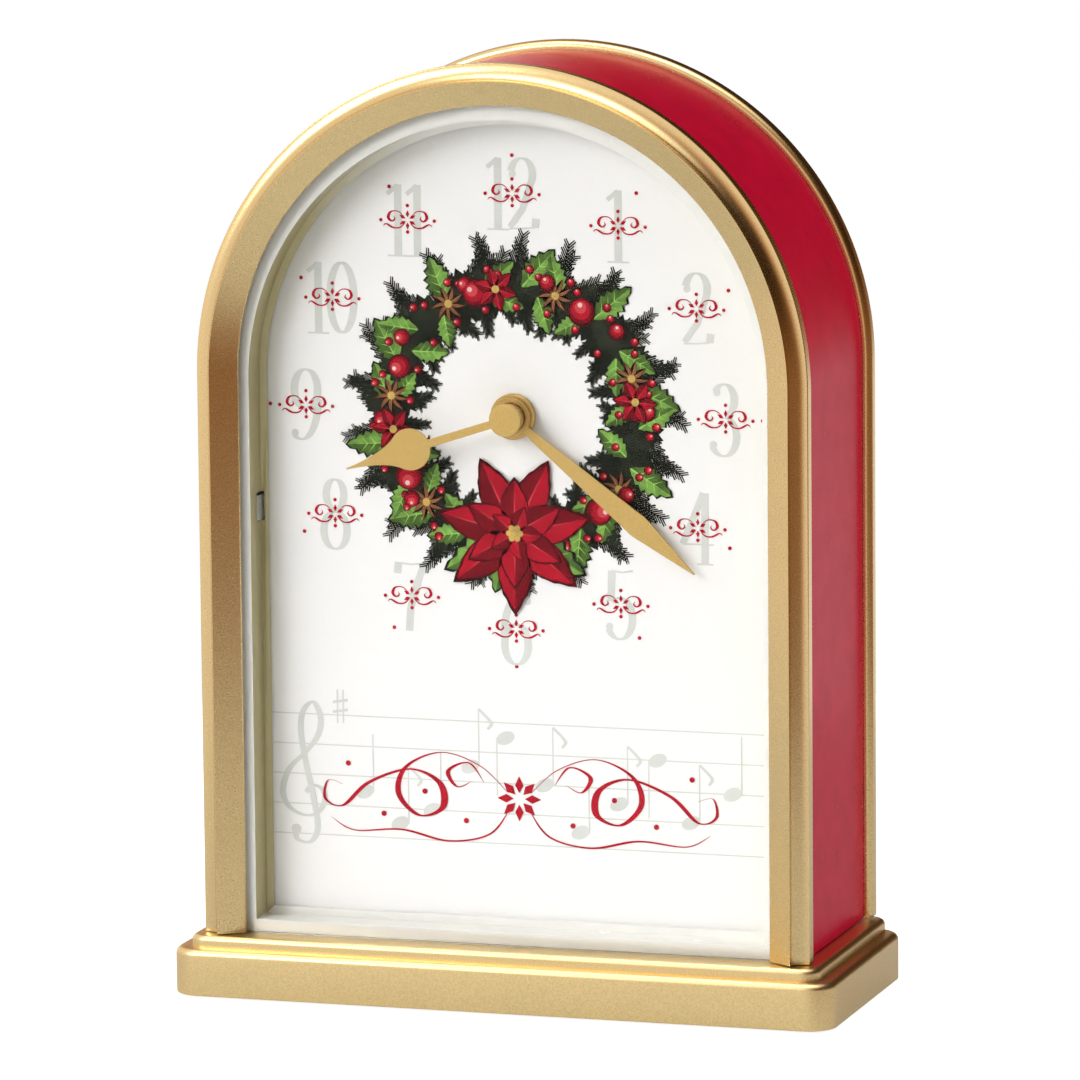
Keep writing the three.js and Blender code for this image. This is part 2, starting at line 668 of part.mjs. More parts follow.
function hourHand() {
  const ring = rod(CAP_RADIUS, HOUR_BLADE_FRONT, HOUR_BLADE_BACK);
  const boss = rod(HOUR_BOSS_RADIUS, HOUR_BLADE_BACK, HOUR_BOSS_BACK);
  const hole = rod(HOUR_ARBOR_RADIUS + SEAT_GAP, HOUR_BLADE_FRONT - 1, HOUR_BOSS_BACK + 1);
  return placeHand(cut(join(hourBlade(), ring, boss), hole), HOUR_ANGLE);
}

function hubCap() {
  const front = CAP_BACK - CAP_THICK;
  const soft = CAP_THICK / 4;
  return turned(
    [
      [0, CAP_BACK],
      [0, front],
      [CAP_RADIUS - soft, front],
      [CAP_RADIUS, front + soft],
      [CAP_RADIUS, CAP_BACK],
    ],
    0,
    SHAFT_HEIGHT,
  );
}

// A toothed wheel about the Y axis; a tooth points towards the angle given, in degrees from +X
function gear(teeth, pitchRadius, y0, y1, toothAngle) {
  const module = (2 * pitchRadius) / teeth;
  const tip = pitchRadius + 0.55 * module;
  const root = pitchRadius - 0.9 * module;
  const pitch = (2 * Math.PI) / teeth;
  const shape = new THREE.Shape();
  for (let i = 0; i < teeth; i++) {
    const middle = THREE.MathUtils.degToRad(toothAngle) + i * pitch;
    const corners = [
      [root, -0.22],
      [tip, -0.08],
      [tip, 0.08],
      [root, 0.22],
    ];
    corners.forEach(([radius, share], corner) => {
      const angle = middle + share * pitch;
      const move = i === 0 && corner === 0 ? "moveTo" : "lineTo";
      shape[move](radius * Math.cos(angle), radius * Math.sin(angle));
    });
  }
  return plate(shape, y0, y1);
}

function pinionRadius(distance, teeth, otherTeeth) {
  return (distance * teeth) / (teeth + otherTeeth);
}

const MINUTE_PINION = pinionRadius(IDLER_DISTANCE, MINUTE_PINION_TEETH, IDLER_TEETH);
const IDLER_RADIUS = IDLER_DISTANCE - MINUTE_PINION;
const IDLER_PINION = pinionRadius(IDLER_DISTANCE, IDLER_PINION_TEETH, HOUR_WHEEL_TEETH);
const HOUR_WHEEL_RADIUS = IDLER_DISTANCE - IDLER_PINION;

function minutePipe() {
  const pinionBack = IDLER_BACK + RUN_GAP;
  const pipe = rod(PIPE_RADIUS, MINUTE_RING_FRONT, pinionBack);
  const pinion = gear(MINUTE_PINION_TEETH, MINUTE_PINION, IDLER_FRONT - RUN_GAP, pinionBack, 0);
  const bore = rod(PIPE_BORE, MINUTE_RING_FRONT - 1, pinionBack + 1);
  return cut(join(pipe, pinion), bore).translate(0, 0, SHAFT_HEIGHT);
}

function hourArbor() {
  const back = HOUR_WHEEL_BACK + 2 * RUN_GAP;
  return rod(HOUR_ARBOR_RADIUS, HOUR_BLADE_FRONT, back, 0, SHAFT_HEIGHT);
}

function hourWheel() {
  const halfPitch = 180 / HOUR_WHEEL_TEETH;
  const rim = gear(HOUR_WHEEL_TEETH, HOUR_WHEEL_RADIUS, HOUR_WHEEL_FRONT, HOUR_WHEEL_BACK, halfPitch);
  const hole = rod(HOUR_ARBOR_RADIUS + SEAT_GAP, HOUR_WHEEL_FRONT - 1, HOUR_WHEEL_BACK + 1);
  return cut(rim, hole).translate(0, 0, SHAFT_HEIGHT);
}

// The idler turns the hour wheel, and its arbor carries the knob that sets the hands
function idlerWheel() {
  const halfPitch = 180 / IDLER_TEETH;
  const towardShaft = 180;
  const wheel = gear(IDLER_TEETH, IDLER_RADIUS, IDLER_FRONT, IDLER_BACK, towardShaft + halfPitch);
  const pinionBack = HOUR_WHEEL_BACK + RUN_GAP;
  const pinion = gear(IDLER_PINION_TEETH, IDLER_PINION, IDLER_BACK, pinionBack, towardShaft);
  const arborBack = COVER_BACK + RUN_GAP + SETTING_KNOB_LENGTH;
  const arbor = rod(IDLER_ARBOR_RADIUS, HOUSING_FRONT, arborBack, 0, 0, FINE_STEPS);
  return join(wheel, pinion, arbor).translate(IDLER_DISTANCE, 0, SHAFT_HEIGHT);
}

add("minute_hand", minuteHand(), BRASS);
add("hour_hand", hourHand(), BRASS);
add("hub_cap", hubCap(), BRASS);
add("minute_pipe", minutePipe(), BRASS);
add("hour_arbor", hourArbor(), STEEL);
add("hour_wheel", hourWheel(), NYLON);
add("idler_wheel", idlerWheel(), NYLON);

// What holds the movement to the dial

function threadedBush() {
  return tube(BUSH_BORE, BUSH_RADIUS, NUT_FRONT, HOUSING_INSIDE, 0, SHAFT_HEIGHT);
}

function dialNut() {
  return tube(BUSH_HOLE, NUT_RADIUS, NUT_FRONT, NUT_BACK, 0, SHAFT_HEIGHT);
}

function dialWasher() {
  const back = WASHER_FRONT + WASHER_THICK;
  return tube(BUSH_HOLE, WASHER_RADIUS, WASHER_FRONT, back, 0, SHAFT_HEIGHT);
}

add("threaded_bush", threadedBush(), BRASS);
add("dial_nut", dialNut(), BRASS);
add("dial_washer", dialWasher(), RUBBER);

// Drive wheel, and the sealed stepping motor whose pinion turns it

const MOTOR_PINION = DRIVE_WHEEL_RADIUS / DRIVE_RATIO;
const MOTOR_ANGLE = THREE.MathUtils.degToRad(MOTOR_BEARING);
const SHAFT_AXIS = [0, SHAFT_HEIGHT];
const IDLER_AXIS = [IDLER_DISTANCE, SHAFT_HEIGHT];
const MOTOR_AXIS = [
  (DRIVE_WHEEL_RADIUS + MOTOR_PINION) * Math.cos(MOTOR_ANGLE),
  SHAFT_HEIGHT + (DRIVE_WHEEL_RADIUS + MOTOR_PINION) * Math.sin(MOTOR_ANGLE),
];

// Fine teeth are left out: the two wheels are drawn at their pitch circles less the running gap
function driveWheel() {
  const radius = DRIVE_WHEEL_RADIUS - RUN_GAP / 2;
  const back = DRIVE_WHEEL_FRONT + WHEEL_THICK;
  return tube(PIPE_RADIUS + RUN_GAP, radius, DRIVE_WHEEL_FRONT, back, ...SHAFT_AXIS);
}

function motorPinion() {
  return rod(MOTOR_PINION - RUN_GAP / 2, HOUSING_FRONT, MOTOR_BACK, ...MOTOR_AXIS, FINE_STEPS);
}

function motorPinionHole() {
  const radius = MOTOR_PINION + RUN_GAP / 2;
  return rod(radius, HOUSING_FRONT - 1, MOTOR_BACK + 1, ...MOTOR_AXIS, FINE_STEPS);
}

function motorUnit() {
  const z = MOTOR_AXIS[1];
  const half = MOTOR_HEIGHT / 2;
  const body = block(-MOTOR_OUTER, -MOTOR_INNER, MOTOR_FRONT, MOTOR_BACK, z - half, z + half);
  return cut(body, motorPinionHole());
}

function motorCoil() {
  const x = -MOTOR_OUTER - SEAT_GAP - COIL_FLANGE_RADIUS;
  const y = HOUSING_INSIDE + SEAT_GAP + COIL_FLANGE_RADIUS;
  const upright = (geometry, z) => geometry.rotateX(Math.PI / 2).translate(x, y, z);
  const winding = new THREE.CylinderGeometry(COIL_RADIUS, COIL_RADIUS, COIL_LENGTH, FINE_STEPS);
  const ends = [-1, 1].map((side) => {
    const radius = COIL_FLANGE_RADIUS;
    const disc = new THREE.CylinderGeometry(radius, radius, COIL_FLANGE_THICK, FINE_STEPS);
    return upright(disc, MOTOR_AXIS[1] + (side * COIL_LENGTH) / 2);
  });
  return join(upright(winding, MOTOR_AXIS[1]), ...ends);
}

add("drive_wheel", driveWheel(), NYLON);
add("motor_pinion", motorPinion(), STEEL);
add("motor_unit", motorUnit(), BLACK);
add("motor_coil", motorCoil(), COPPER);

// Movement housing and its controls

const BUTTON_AXIS = [CONTROL_SPACING, SHAFT_HEIGHT + CONTROL_HEIGHT];
const VOLUME_AXIS = [-CONTROL_SPACING, SHAFT_HEIGHT + CONTROL_HEIGHT];
const SWITCH_HEIGHT = SHAFT_HEIGHT + CONTROL_HEIGHT;
const BOARD_FRONT = HOUSING_FRONT + BOARD_SETBACK;
const BOARD_BACK = BOARD_FRONT + BOARD_THICK;

function idlerHole() {
  const radius = IDLER_ARBOR_RADIUS + RUN_GAP;
  return rod(radius, HOUSING_FRONT - 1, COVER_BACK + 1, ...IDLER_AXIS, FINE_STEPS);
}

function housingBlock(inset, y0, y1) {
  return block(
    -HOUSING_HALF_WIDTH + inset,
    HOUSING_HALF_WIDTH - inset,
    y0,
    y1,
    SHAFT_HEIGHT - HOUSING_BELOW + inset,
    SHAFT_HEIGHT + HOUSING_ABOVE - inset,
  );
}

function movementHousing() {
  return cut(
    housingBlock(0, HOUSING_FRONT, HOUSING_BACK),
    housingBlock(HOUSING_WALL, HOUSING_INSIDE, HOUSING_BACK + 1),
    rod(BUSH_HOLE, HOUSING_FRONT - 1, HOUSING_INSIDE + 1, ...SHAFT_AXIS),
    motorPinionHole(),
    idlerHole(),
  );
}

function movementCover() {
  const slotHalf = SWITCH_STEM / 2 + SWITCH_TRAVEL / 2 + RUN_GAP;
  const stemHalf = SWITCH_STEM / 2 + RUN_GAP;
  return cut(
    housingBlock(0, COVER_FRONT, COVER_BACK),
    rod(BUTTON_RADIUS + RUN_GAP, COVER_FRONT - 1, COVER_BACK + 1, ...BUTTON_AXIS),
    rod(VOLUME_SHAFT_RADIUS + RUN_GAP, COVER_FRONT - 1, COVER_BACK + 1, ...VOLUME_AXIS),
    block(
      -slotHalf,
      slotHalf,
      COVER_FRONT - 1,
      COVER_BACK + 1,
      SWITCH_HEIGHT - stemHalf,
      SWITCH_HEIGHT + stemHalf,
    ),
    idlerHole(),
  );
}

function circuitBoard() {
  const z = SHAFT_HEIGHT + CONTROL_HEIGHT;
  return block(
    -BOARD_WIDTH / 2,
    BOARD_WIDTH / 2,
    BOARD_FRONT,
    BOARD_BACK,
    z - BOARD_HEIGHT / 2,
    z + BOARD_HEIGHT / 2,
  );
}

// A knob with a fluted rim, from its face on the cover to its outer end
function flutedKnob(radius, y0, y1, axis) {
  const flute = radius / 9;
  const shape = new THREE.Shape();
  const steps = KNOB_FLUTES * 4;
  for (let i = 0; i < steps; i++) {
    const angle = (i / steps) * 2 * Math.PI;
    const reach = radius - flute * (0.5 - 0.5 * Math.cos(KNOB_FLUTES * angle));
    const move = i === 0 ? "moveTo" : "lineTo";
    shape[move](reach * Math.cos(angle), reach * Math.sin(angle));
  }
  return plate(shape, y0, y1).translate(axis[0], 0, axis[1]);
}

function settingKnob() {
  const front = COVER_BACK + RUN_GAP;
  const back = front + SETTING_KNOB_LENGTH;
  const knob = flutedKnob(SETTING_KNOB_RADIUS, front, back, IDLER_AXIS);
  const bore = IDLER_ARBOR_RADIUS + SEAT_GAP;
  return cut(knob, rod(bore, front - 1, back + 1, ...IDLER_AXIS, FINE_STEPS));
}

function volumeKnob() {
  const front = COVER_BACK + RUN_GAP;
  const shaft = rod(VOLUME_SHAFT_RADIUS, BOARD_BACK + SEAT_GAP, front, ...VOLUME_AXIS, FINE_STEPS);
  const back = front + VOLUME_KNOB_LENGTH;
  const knob = flutedKnob(VOLUME_KNOB_RADIUS, front, back, VOLUME_AXIS);
  const pointer = block(-0.6, 0.6, back - 0.8, back + 1, 0, VOLUME_KNOB_RADIUS + 1);
  return cut(join(knob, shaft), pointer.translate(VOLUME_AXIS[0], 0, VOLUME_AXIS[1]));
}

function nightSwitch() {
  const half = SWITCH_STEM / 2;
  const cap = SWITCH_CAP / 2;
  const front = COVER_BACK + RUN_GAP;
  const x = -SWITCH_TRAVEL / 2;
  const z = SWITCH_HEIGHT;
  const back = front + SWITCH_CAP_HEIGHT;
  return join(
    block(x - half, x + half, BOARD_BACK + SEAT_GAP, front, z - half, z + half),
    block(x - cap, x + cap, front, back, z - cap, z + cap),
  );
}

function melodyButton() {
  const collarBack = COVER_FRONT - RUN_GAP;
  const collarFront = collarBack - BUTTON_COLLAR_THICK;
  const face = COVER_BACK + BUTTON_PROUD;
  const foot = BOARD_BACK + BUTTON_TRAVEL + SEAT_GAP;
  return join(
    rod(BUTTON_RADIUS, foot, face, ...BUTTON_AXIS, FINE_STEPS),
    rod(BUTTON_RADIUS + BUTTON_COLLAR, collarFront, collarBack, ...BUTTON_AXIS, FINE_STEPS),
  );
}

add("movement_housing", movementHousing(), BLACK);
add("movement_cover", movementCover(), BLACK);
add("circuit_board", circuitBoard(), BOARD);
add("setting_knob", settingKnob(), BLACK);
add("volume_knob", volumeKnob(), BLACK);
add("night_switch", nightSwitch(), BLACK);
add("melody_button", melodyButton(), BLACK);

// Two cells one above the other in an open tray under the movement

const CELL_PITCH = 2 * CELL_RADIUS + 3 * SEAT_GAP;
const TRAY_TOP = SHAFT_HEIGHT - HOUSING_BELOW - SEAT_GAP;
const TRAY_INSIDE_HEIGHT = 2 * CELL_PITCH;
const TRAY_BOTTOM = TRAY_TOP - TRAY_INSIDE_HEIGHT - 2 * TRAY_WALL;
const CONTACT_STACK = CONTACT_THICK + CONTACT_BOW + 2 * SEAT_GAP;
const TRAY_HALF = (CELL_LENGTH + CELL_NUB_LENGTH) / 2 + CONTACT_STACK;
const CELL_AXIS_Y = HOUSING_FRONT + TRAY_WALL + SEAT_GAP + CELL_RADIUS;

function batteryTray() {
  const half = TRAY_HALF + TRAY_WALL;
  const back = HOUSING_FRONT + TRAY_DEPTH;
  return cut(
    block(-half, half, HOUSING_FRONT, back, TRAY_BOTTOM, TRAY_TOP),
    block(
      -TRAY_HALF,
      TRAY_HALF,
      HOUSING_FRONT + TRAY_WALL,
      back + 1,
      TRAY_BOTTOM + TRAY_WALL,
      TRAY_TOP - TRAY_WALL,
    ),
  );
}

function cellHeight(index) {
  return TRAY_TOP - TRAY_WALL - CELL_PITCH * (index + 0.5);
}

// The cells lie head to tail; a positive side puts the nub towards +X
function cell(index, side) {
  const total = CELL_LENGTH + CELL_NUB_LENGTH;
  const profile = [
    [0, -total / 2],
    [CELL_RADIUS, -total / 2],
    [CELL_RADIUS, total / 2 - CELL_NUB_LENGTH],
    [CELL_NUB_RADIUS, total / 2 - CELL_NUB_LENGTH],
    [CELL_NUB_RADIUS, total / 2],
    [0, total / 2],
  ];
  const body = turned(profile, 0, 0, FINE_STEPS).rotateZ((-side * Math.PI) / 2);
  return body.translate(0, CELL_AXIS_Y, cellHeight(index));
}

// A bent strip at one end of the tray with a bow towards each cell
function batteryContact(side) {
  const wall = side * (TRAY_HALF - SEAT_GAP);
  const face = side * (TRAY_HALF - SEAT_GAP - CONTACT_THICK);
  const z0 = TRAY_BOTTOM + TRAY_WALL + 2 * SEAT_GAP;
  const z1 = TRAY_TOP - TRAY_WALL - 2 * SEAT_GAP;
  const y0 = HOUSING_FRONT + TRAY_WALL + 2 * SEAT_GAP;
  const y1 = y0 + 2 * CELL_RADIUS - 2 * SEAT_GAP;
  const strip = block(Math.min(wall, face), Math.max(wall, face), y0, y1, z0, z1);
  const bows = [0, 1].map((index) => {
    const length = CONTACT_BOW + CONTACT_THICK / 2;
    const bow = new THREE.CylinderGeometry(
      CONTACT_BOW_RADIUS / 2,
      CONTACT_BOW_RADIUS,
      length,
      FINE_STEPS,
    );
    bow.rotateZ((side * Math.PI) / 2);
    return bow.translate(face - side * (CONTACT_BOW - length / 2), CELL_AXIS_Y, cellHeight(index));
  });
  return join(strip, ...bows);
}

add("battery_tray", batteryTray(), BLACK);
add("battery_upper", cell(0, 1), CELL);
add("battery_lower", cell(1, -1), CELL);
add("battery_contact_left", batteryContact(-1), STEEL);
add("battery_contact_right", batteryContact(1), STEEL);

// Back panel with the speaker's slots, and the door to the movement

const HINGE_AXIS_X = DOOR_HALF_WIDTH + HINGE_RADIUS + SEAT_GAP;
const HINGE_AXIS_Y = PANEL_BACK + SEAT_GAP + HINGE_RADIUS;
const DOOR_MIDDLE = (DOOR_BOTTOM + DOOR_TOP) / 2;
function slot(row) {
  const offset = (row - (SLOT_ROWS - 1) / 2) * SLOT_PITCH;
  const half = Math.sqrt(SLOT_FIELD_RADIUS ** 2 - offset ** 2);
  const z = SPEAKER_CENTRE + offset;
  const shape = roundedRectangle(-half, half, z - SLOT_HEIGHT / 2, z + SLOT_HEIGHT / 2, 1.4);
  return plate(shape, PANEL_FRONT - 1, PANEL_BACK + 1, 2);
}

function backPanel() {
  const board = archPlate(FITTED_RADIUS, FOOT, PANEL_FRONT, PANEL_BACK);
  const doorway = block(
    -DOOR_HALF_WIDTH,
    DOOR_HALF_WIDTH,
    PANEL_FRONT - 1,
    PANEL_BACK + 1,
    DOOR_BOTTOM,
    DOOR_TOP,
  );
  const slots = Array.from({ length: SLOT_ROWS }, (_, row) => slot(row));
  return cut(board, doorway, ...slots, ...SCREW_PLACES.map(screwHole));
}

function rearDoor() {
  return block(
    -DOOR_HALF_WIDTH + SEAT_GAP,
    DOOR_HALF_WIDTH - SEAT_GAP,
    PANEL_FRONT,
    PANEL_BACK,
    DOOR_BOTTOM + SEAT_GAP,
    DOOR_TOP - SEAT_GAP,
  );
}

// A knuckle of the hinge between two heights, joined to its flat leaf
function hingeLeaf(side, spans) {
  const bore = HINGE_PIN_RADIUS + HINGE_PIN_GAP;
  const y0 = PANEL_BACK + SEAT_GAP;
  const bottom = DOOR_MIDDLE - HINGE_LENGTH / 2;
  const flat = side * (HINGE_RADIUS + SEAT_GAP);
  const end = flat + side * HINGE_LEAF_WIDTH;
  const leaf = block(
    Math.min(flat, end),
    Math.max(flat, end),
    y0,
    y0 + HINGE_LEAF_THICK,
    bottom,
    bottom + HINGE_LENGTH,
  ).translate(HINGE_AXIS_X, 0, 0);
  const knuckles = spans.flatMap(([low, high]) => {
    const barrel = new THREE.CylinderGeometry(HINGE_RADIUS, HINGE_RADIUS, high - low, FINE_STEPS);
    barrel.rotateX(Math.PI / 2);
    barrel.translate(HINGE_AXIS_X, HINGE_AXIS_Y, bottom + (low + high) / 2);
    const tab = block(Math.min(0, flat), Math.max(0, flat), y0, y0 + HINGE_LEAF_THICK, low, high);
    return [barrel, tab.translate(HINGE_AXIS_X, 0, bottom)];
  });
  const pinHole = new THREE.CylinderGeometry(bore, bore, HINGE_LENGTH + 2, FINE_STEPS / 2);
  pinHole.rotateX(Math.PI / 2).translate(HINGE_AXIS_X, HINGE_AXIS_Y, DOOR_MIDDLE);
  return cut(join(leaf, ...knuckles), pinHole);
}

function hingePin() {
  const pin = new THREE.CylinderGeometry(
    HINGE_PIN_RADIUS,
    HINGE_PIN_RADIUS,
    HINGE_LENGTH,
    FINE_STEPS / 2,
  );
  return pin.rotateX(Math.PI / 2).translate(HINGE_AXIS_X, HINGE_AXIS_Y, DOOR_MIDDLE);
}

const KNUCKLE = HINGE_LENGTH / 3;
const PANEL_KNUCKLES = [
  [0, KNUCKLE - SEAT_GAP / 2],
  [2 * KNUCKLE + SEAT_GAP / 2, HINGE_LENGTH],
];
const DOOR_KNUCKLES = [[KNUCKLE + SEAT_GAP / 2, 2 * KNUCKLE - SEAT_GAP / 2]];

function doorKnob() {
  const front = PANEL_BACK + SEAT_GAP;
  const x = -DOOR_HALF_WIDTH + 2 * DOOR_KNOB_RADIUS;
  return flutedKnob(DOOR_KNOB_RADIUS, front, front + DOOR_KNOB_LENGTH, [x, DOOR_MIDDLE]);
}

// Magnet on the panel beside the doorway and its plate inside the door
function catchMagnet() {
  const x = -DOOR_HALF_WIDTH - CATCH_SIZE / 2;
  const back = PANEL_FRONT - SEAT_GAP;
  const half = CATCH_SIZE / 2;
  return block(x - half, x + half, back - CATCH_THICK, back, DOOR_MIDDLE - half, DOOR_MIDDLE + half);
}

function catchPlate() {
  const x = -DOOR_HALF_WIDTH + CATCH_SIZE / 2 + 2 * SEAT_GAP;
  const back = PANEL_FRONT - SEAT_GAP;
  const half = CATCH_SIZE / 2;
  return block(x - half, x + half, back - CLIP_THICK, back, DOOR_MIDDLE - half, DOOR_MIDDLE + half);
}

function panelScrew([side, z]) {
  const x = side * SCREW_LINE;
  const under = PANEL_BACK + SEAT_GAP;
  const head = rod(SCREW_HEAD_RADIUS, under, under + SCREW_HEAD_THICK, x, z, FINE_STEPS);
  const shank = rod(SCREW_SHANK_RADIUS, under - SCREW_LENGTH, under, x, z, FINE_STEPS / 2);
  const top = under + SCREW_HEAD_THICK;
  const drive = [
    block(x - 1.6, x + 1.6, top - 0.6, top + 1, z - 0.35, z + 0.35),
    block(x - 0.35, x + 0.35, top - 0.6, top + 1, z - 1.6, z + 1.6),
  ];
  return cut(join(head, shank), ...drive);
}

add("back_panel", backPanel(), PANEL);
add("rear_door", rearDoor(), PANEL);
add("hinge_panel_leaf", hingeLeaf(1, PANEL_KNUCKLES), STEEL);
add("hinge_door_leaf", hingeLeaf(-1, DOOR_KNUCKLES), STEEL);
add("hinge_pin", hingePin(), STEEL);
add("door_knob", doorKnob(), BLACK);
add("catch_magnet", catchMagnet(), BLACK);
add("catch_plate", catchPlate(), STEEL);
SCREW_PLACES.forEach((place, index) => add(`panel_screw_${index + 1}`, panelScrew(place), STEEL));

// Speaker behind the slots

const SPEAKER_BACK = PANEL_FRONT - SEAT_GAP;
const SPEAKER_NECK = SPEAKER_BACK - SPEAKER_DEPTH;

function speakerFrame() {
  const inside = SPEAKER_RADIUS - SPEAKER_RIM;
  const rimFront = SPEAKER_BACK - SPEAKER_RIM_THICK;
  return turned(
    [
      [inside, SPEAKER_BACK],
      [SPEAKER_RADIUS, SPEAKER_BACK],
      [SPEAKER_RADIUS, rimFront],
      [inside + SPEAKER_WALL, rimFront],
      [MAGNET_RADIUS, SPEAKER_NECK],
      [CELL_RADIUS, SPEAKER_NECK],
      [CELL_RADIUS, SPEAKER_NECK + SPEAKER_WALL],
      [MAGNET_RADIUS - SPEAKER_WALL, SPEAKER_NECK + SPEAKER_WALL],
      [inside, rimFront],
    ],
    0,
    SPEAKER_CENTRE,
  );
}

function speakerCone() {
  const edge = SPEAKER_RADIUS - SPEAKER_RIM - SEAT_GAP;
  const neck = CELL_RADIUS;
  const back = SPEAKER_BACK - SEAT_GAP;
  const front = SPEAKER_NECK + SPEAKER_WALL + 3 * SEAT_GAP + CONE_THICK;
  return turned(
    [
      [0, front - CONE_THICK],
      [neck, front - CONE_THICK],
      [edge - 2, back - CONE_THICK],
      [edge, back - CONE_THICK],
      [edge, back],
      [edge - 2, back],
      [neck, front],
      [0, front + 1],
    ],
    0,
    SPEAKER_CENTRE,
  );
}

function speakerMagnet() {
  const back = SPEAKER_NECK - SEAT_GAP;
  return rod(MAGNET_RADIUS, back - MAGNET_DEPTH, back, 0, SPEAKER_CENTRE);
}

// Pair of thin wires drawn as one lead, from the cover's foot down to the speaker's rim
function speakerLead() {
  const startY = COVER_BACK + SEAT_GAP + LEAD_RADIUS;
  const start = new THREE.Vector3(LEAD_START_X, startY, SHAFT_HEIGHT - LEAD_START_DROP);
  const rim = (SPEAKER_RADIUS - SPEAKER_RIM / 2) * Math.SQRT1_2;
  const rimFront = SPEAKER_BACK - SPEAKER_RIM_THICK;
  const end = new THREE.Vector3(rim, rimFront - 2 * SEAT_GAP, SPEAKER_CENTRE + rim);
  const path = new THREE.CubicBezierCurve3(
    start,
    start.clone().add(new THREE.Vector3(...LEAD_START_PULL)),
    end.clone().add(new THREE.Vector3(...LEAD_END_PULL)),
    end,
  );
  const section = new THREE.Shape().absarc(0, 0, LEAD_RADIUS, 0, 2 * Math.PI, false);
  return new THREE.ExtrudeGeometry(section, {
    steps: LEAD_STEPS,
    extrudePath: path,
    curveSegments: CORNER_STEPS - 1,
    bevelEnabled: false,
  });
}

add("speaker_frame", speakerFrame(), STEEL);
add("speaker_cone", speakerCone(), BLACK);
add("speaker_magnet", speakerMagnet(), STEEL);
add("speaker_lead", speakerLead(), RED);

export default clock;
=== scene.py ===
import json
import math

import bpy
from mathutils import Euler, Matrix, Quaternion, Vector


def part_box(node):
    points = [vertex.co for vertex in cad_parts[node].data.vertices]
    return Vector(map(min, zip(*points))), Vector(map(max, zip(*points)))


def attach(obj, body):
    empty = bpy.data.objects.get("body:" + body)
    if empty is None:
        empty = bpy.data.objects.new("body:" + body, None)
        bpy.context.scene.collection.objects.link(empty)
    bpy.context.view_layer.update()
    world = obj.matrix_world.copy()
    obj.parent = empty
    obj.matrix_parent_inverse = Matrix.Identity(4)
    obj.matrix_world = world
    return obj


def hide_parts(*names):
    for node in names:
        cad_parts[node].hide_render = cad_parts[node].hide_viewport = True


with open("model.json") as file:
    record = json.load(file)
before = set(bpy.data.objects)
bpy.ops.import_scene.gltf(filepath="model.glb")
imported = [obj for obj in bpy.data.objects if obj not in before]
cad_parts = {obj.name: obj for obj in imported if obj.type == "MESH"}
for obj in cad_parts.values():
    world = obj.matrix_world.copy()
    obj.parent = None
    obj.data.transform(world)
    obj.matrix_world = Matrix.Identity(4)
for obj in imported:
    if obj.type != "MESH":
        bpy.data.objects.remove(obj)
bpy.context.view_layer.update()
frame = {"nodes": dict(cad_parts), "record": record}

bl_info = {
    "name": "Arched Tabletop Clock",
    "version": (1, 0, 0),
    "blender": (4, 5, 0),
    "location": "View3D > Sidebar > Clock",
    "description": "Dresses the packed clock: frames, case, dial, hands, works and studio",
    "category": "Object",
}

MM = 0.001
CLOSE = 0.01 * MM  # vertices nearer than this count as one
GAP = 0.3 * MM  # clearance round a shaft and between neighbouring pieces
ARCH_STEPS = 160  # round the mouldings' arch
BEZEL_STEPS = 128

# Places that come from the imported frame
FRAME_LOW, FRAME_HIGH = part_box("front_frame")
CASE_LOW, CASE_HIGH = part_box("case_shell")
REAR_LOW, REAR_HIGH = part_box("rear_frame")
SLAB_LOW, SLAB_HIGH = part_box("base_slab")
STEP_LOW, STEP_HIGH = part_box("step_board")
BEZEL_LOW, BEZEL_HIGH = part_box("dial_bezel")
CAP_LOW, CAP_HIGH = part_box("hub_cap")
FRAME_RADIUS = FRAME_HIGH.x
SPRING = FRAME_HIGH.z - FRAME_RADIUS  # centre height of the round top
FOOT = FRAME_LOW.z
CREST = FRAME_LOW.y
CASE_RADIUS = CASE_HIGH.x
DIAL_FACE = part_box("dial_plate")[0].y
SHAFT = (CAP_LOW.z + CAP_HIGH.z) / 2  # height of the hands' shaft


# Sizes and colours that a user would change


def length_property(name, description, millimetres):
    return bpy.props.FloatProperty(
        name=name, description=description, default=millimetres * MM, subtype="DISTANCE", unit="LENGTH")


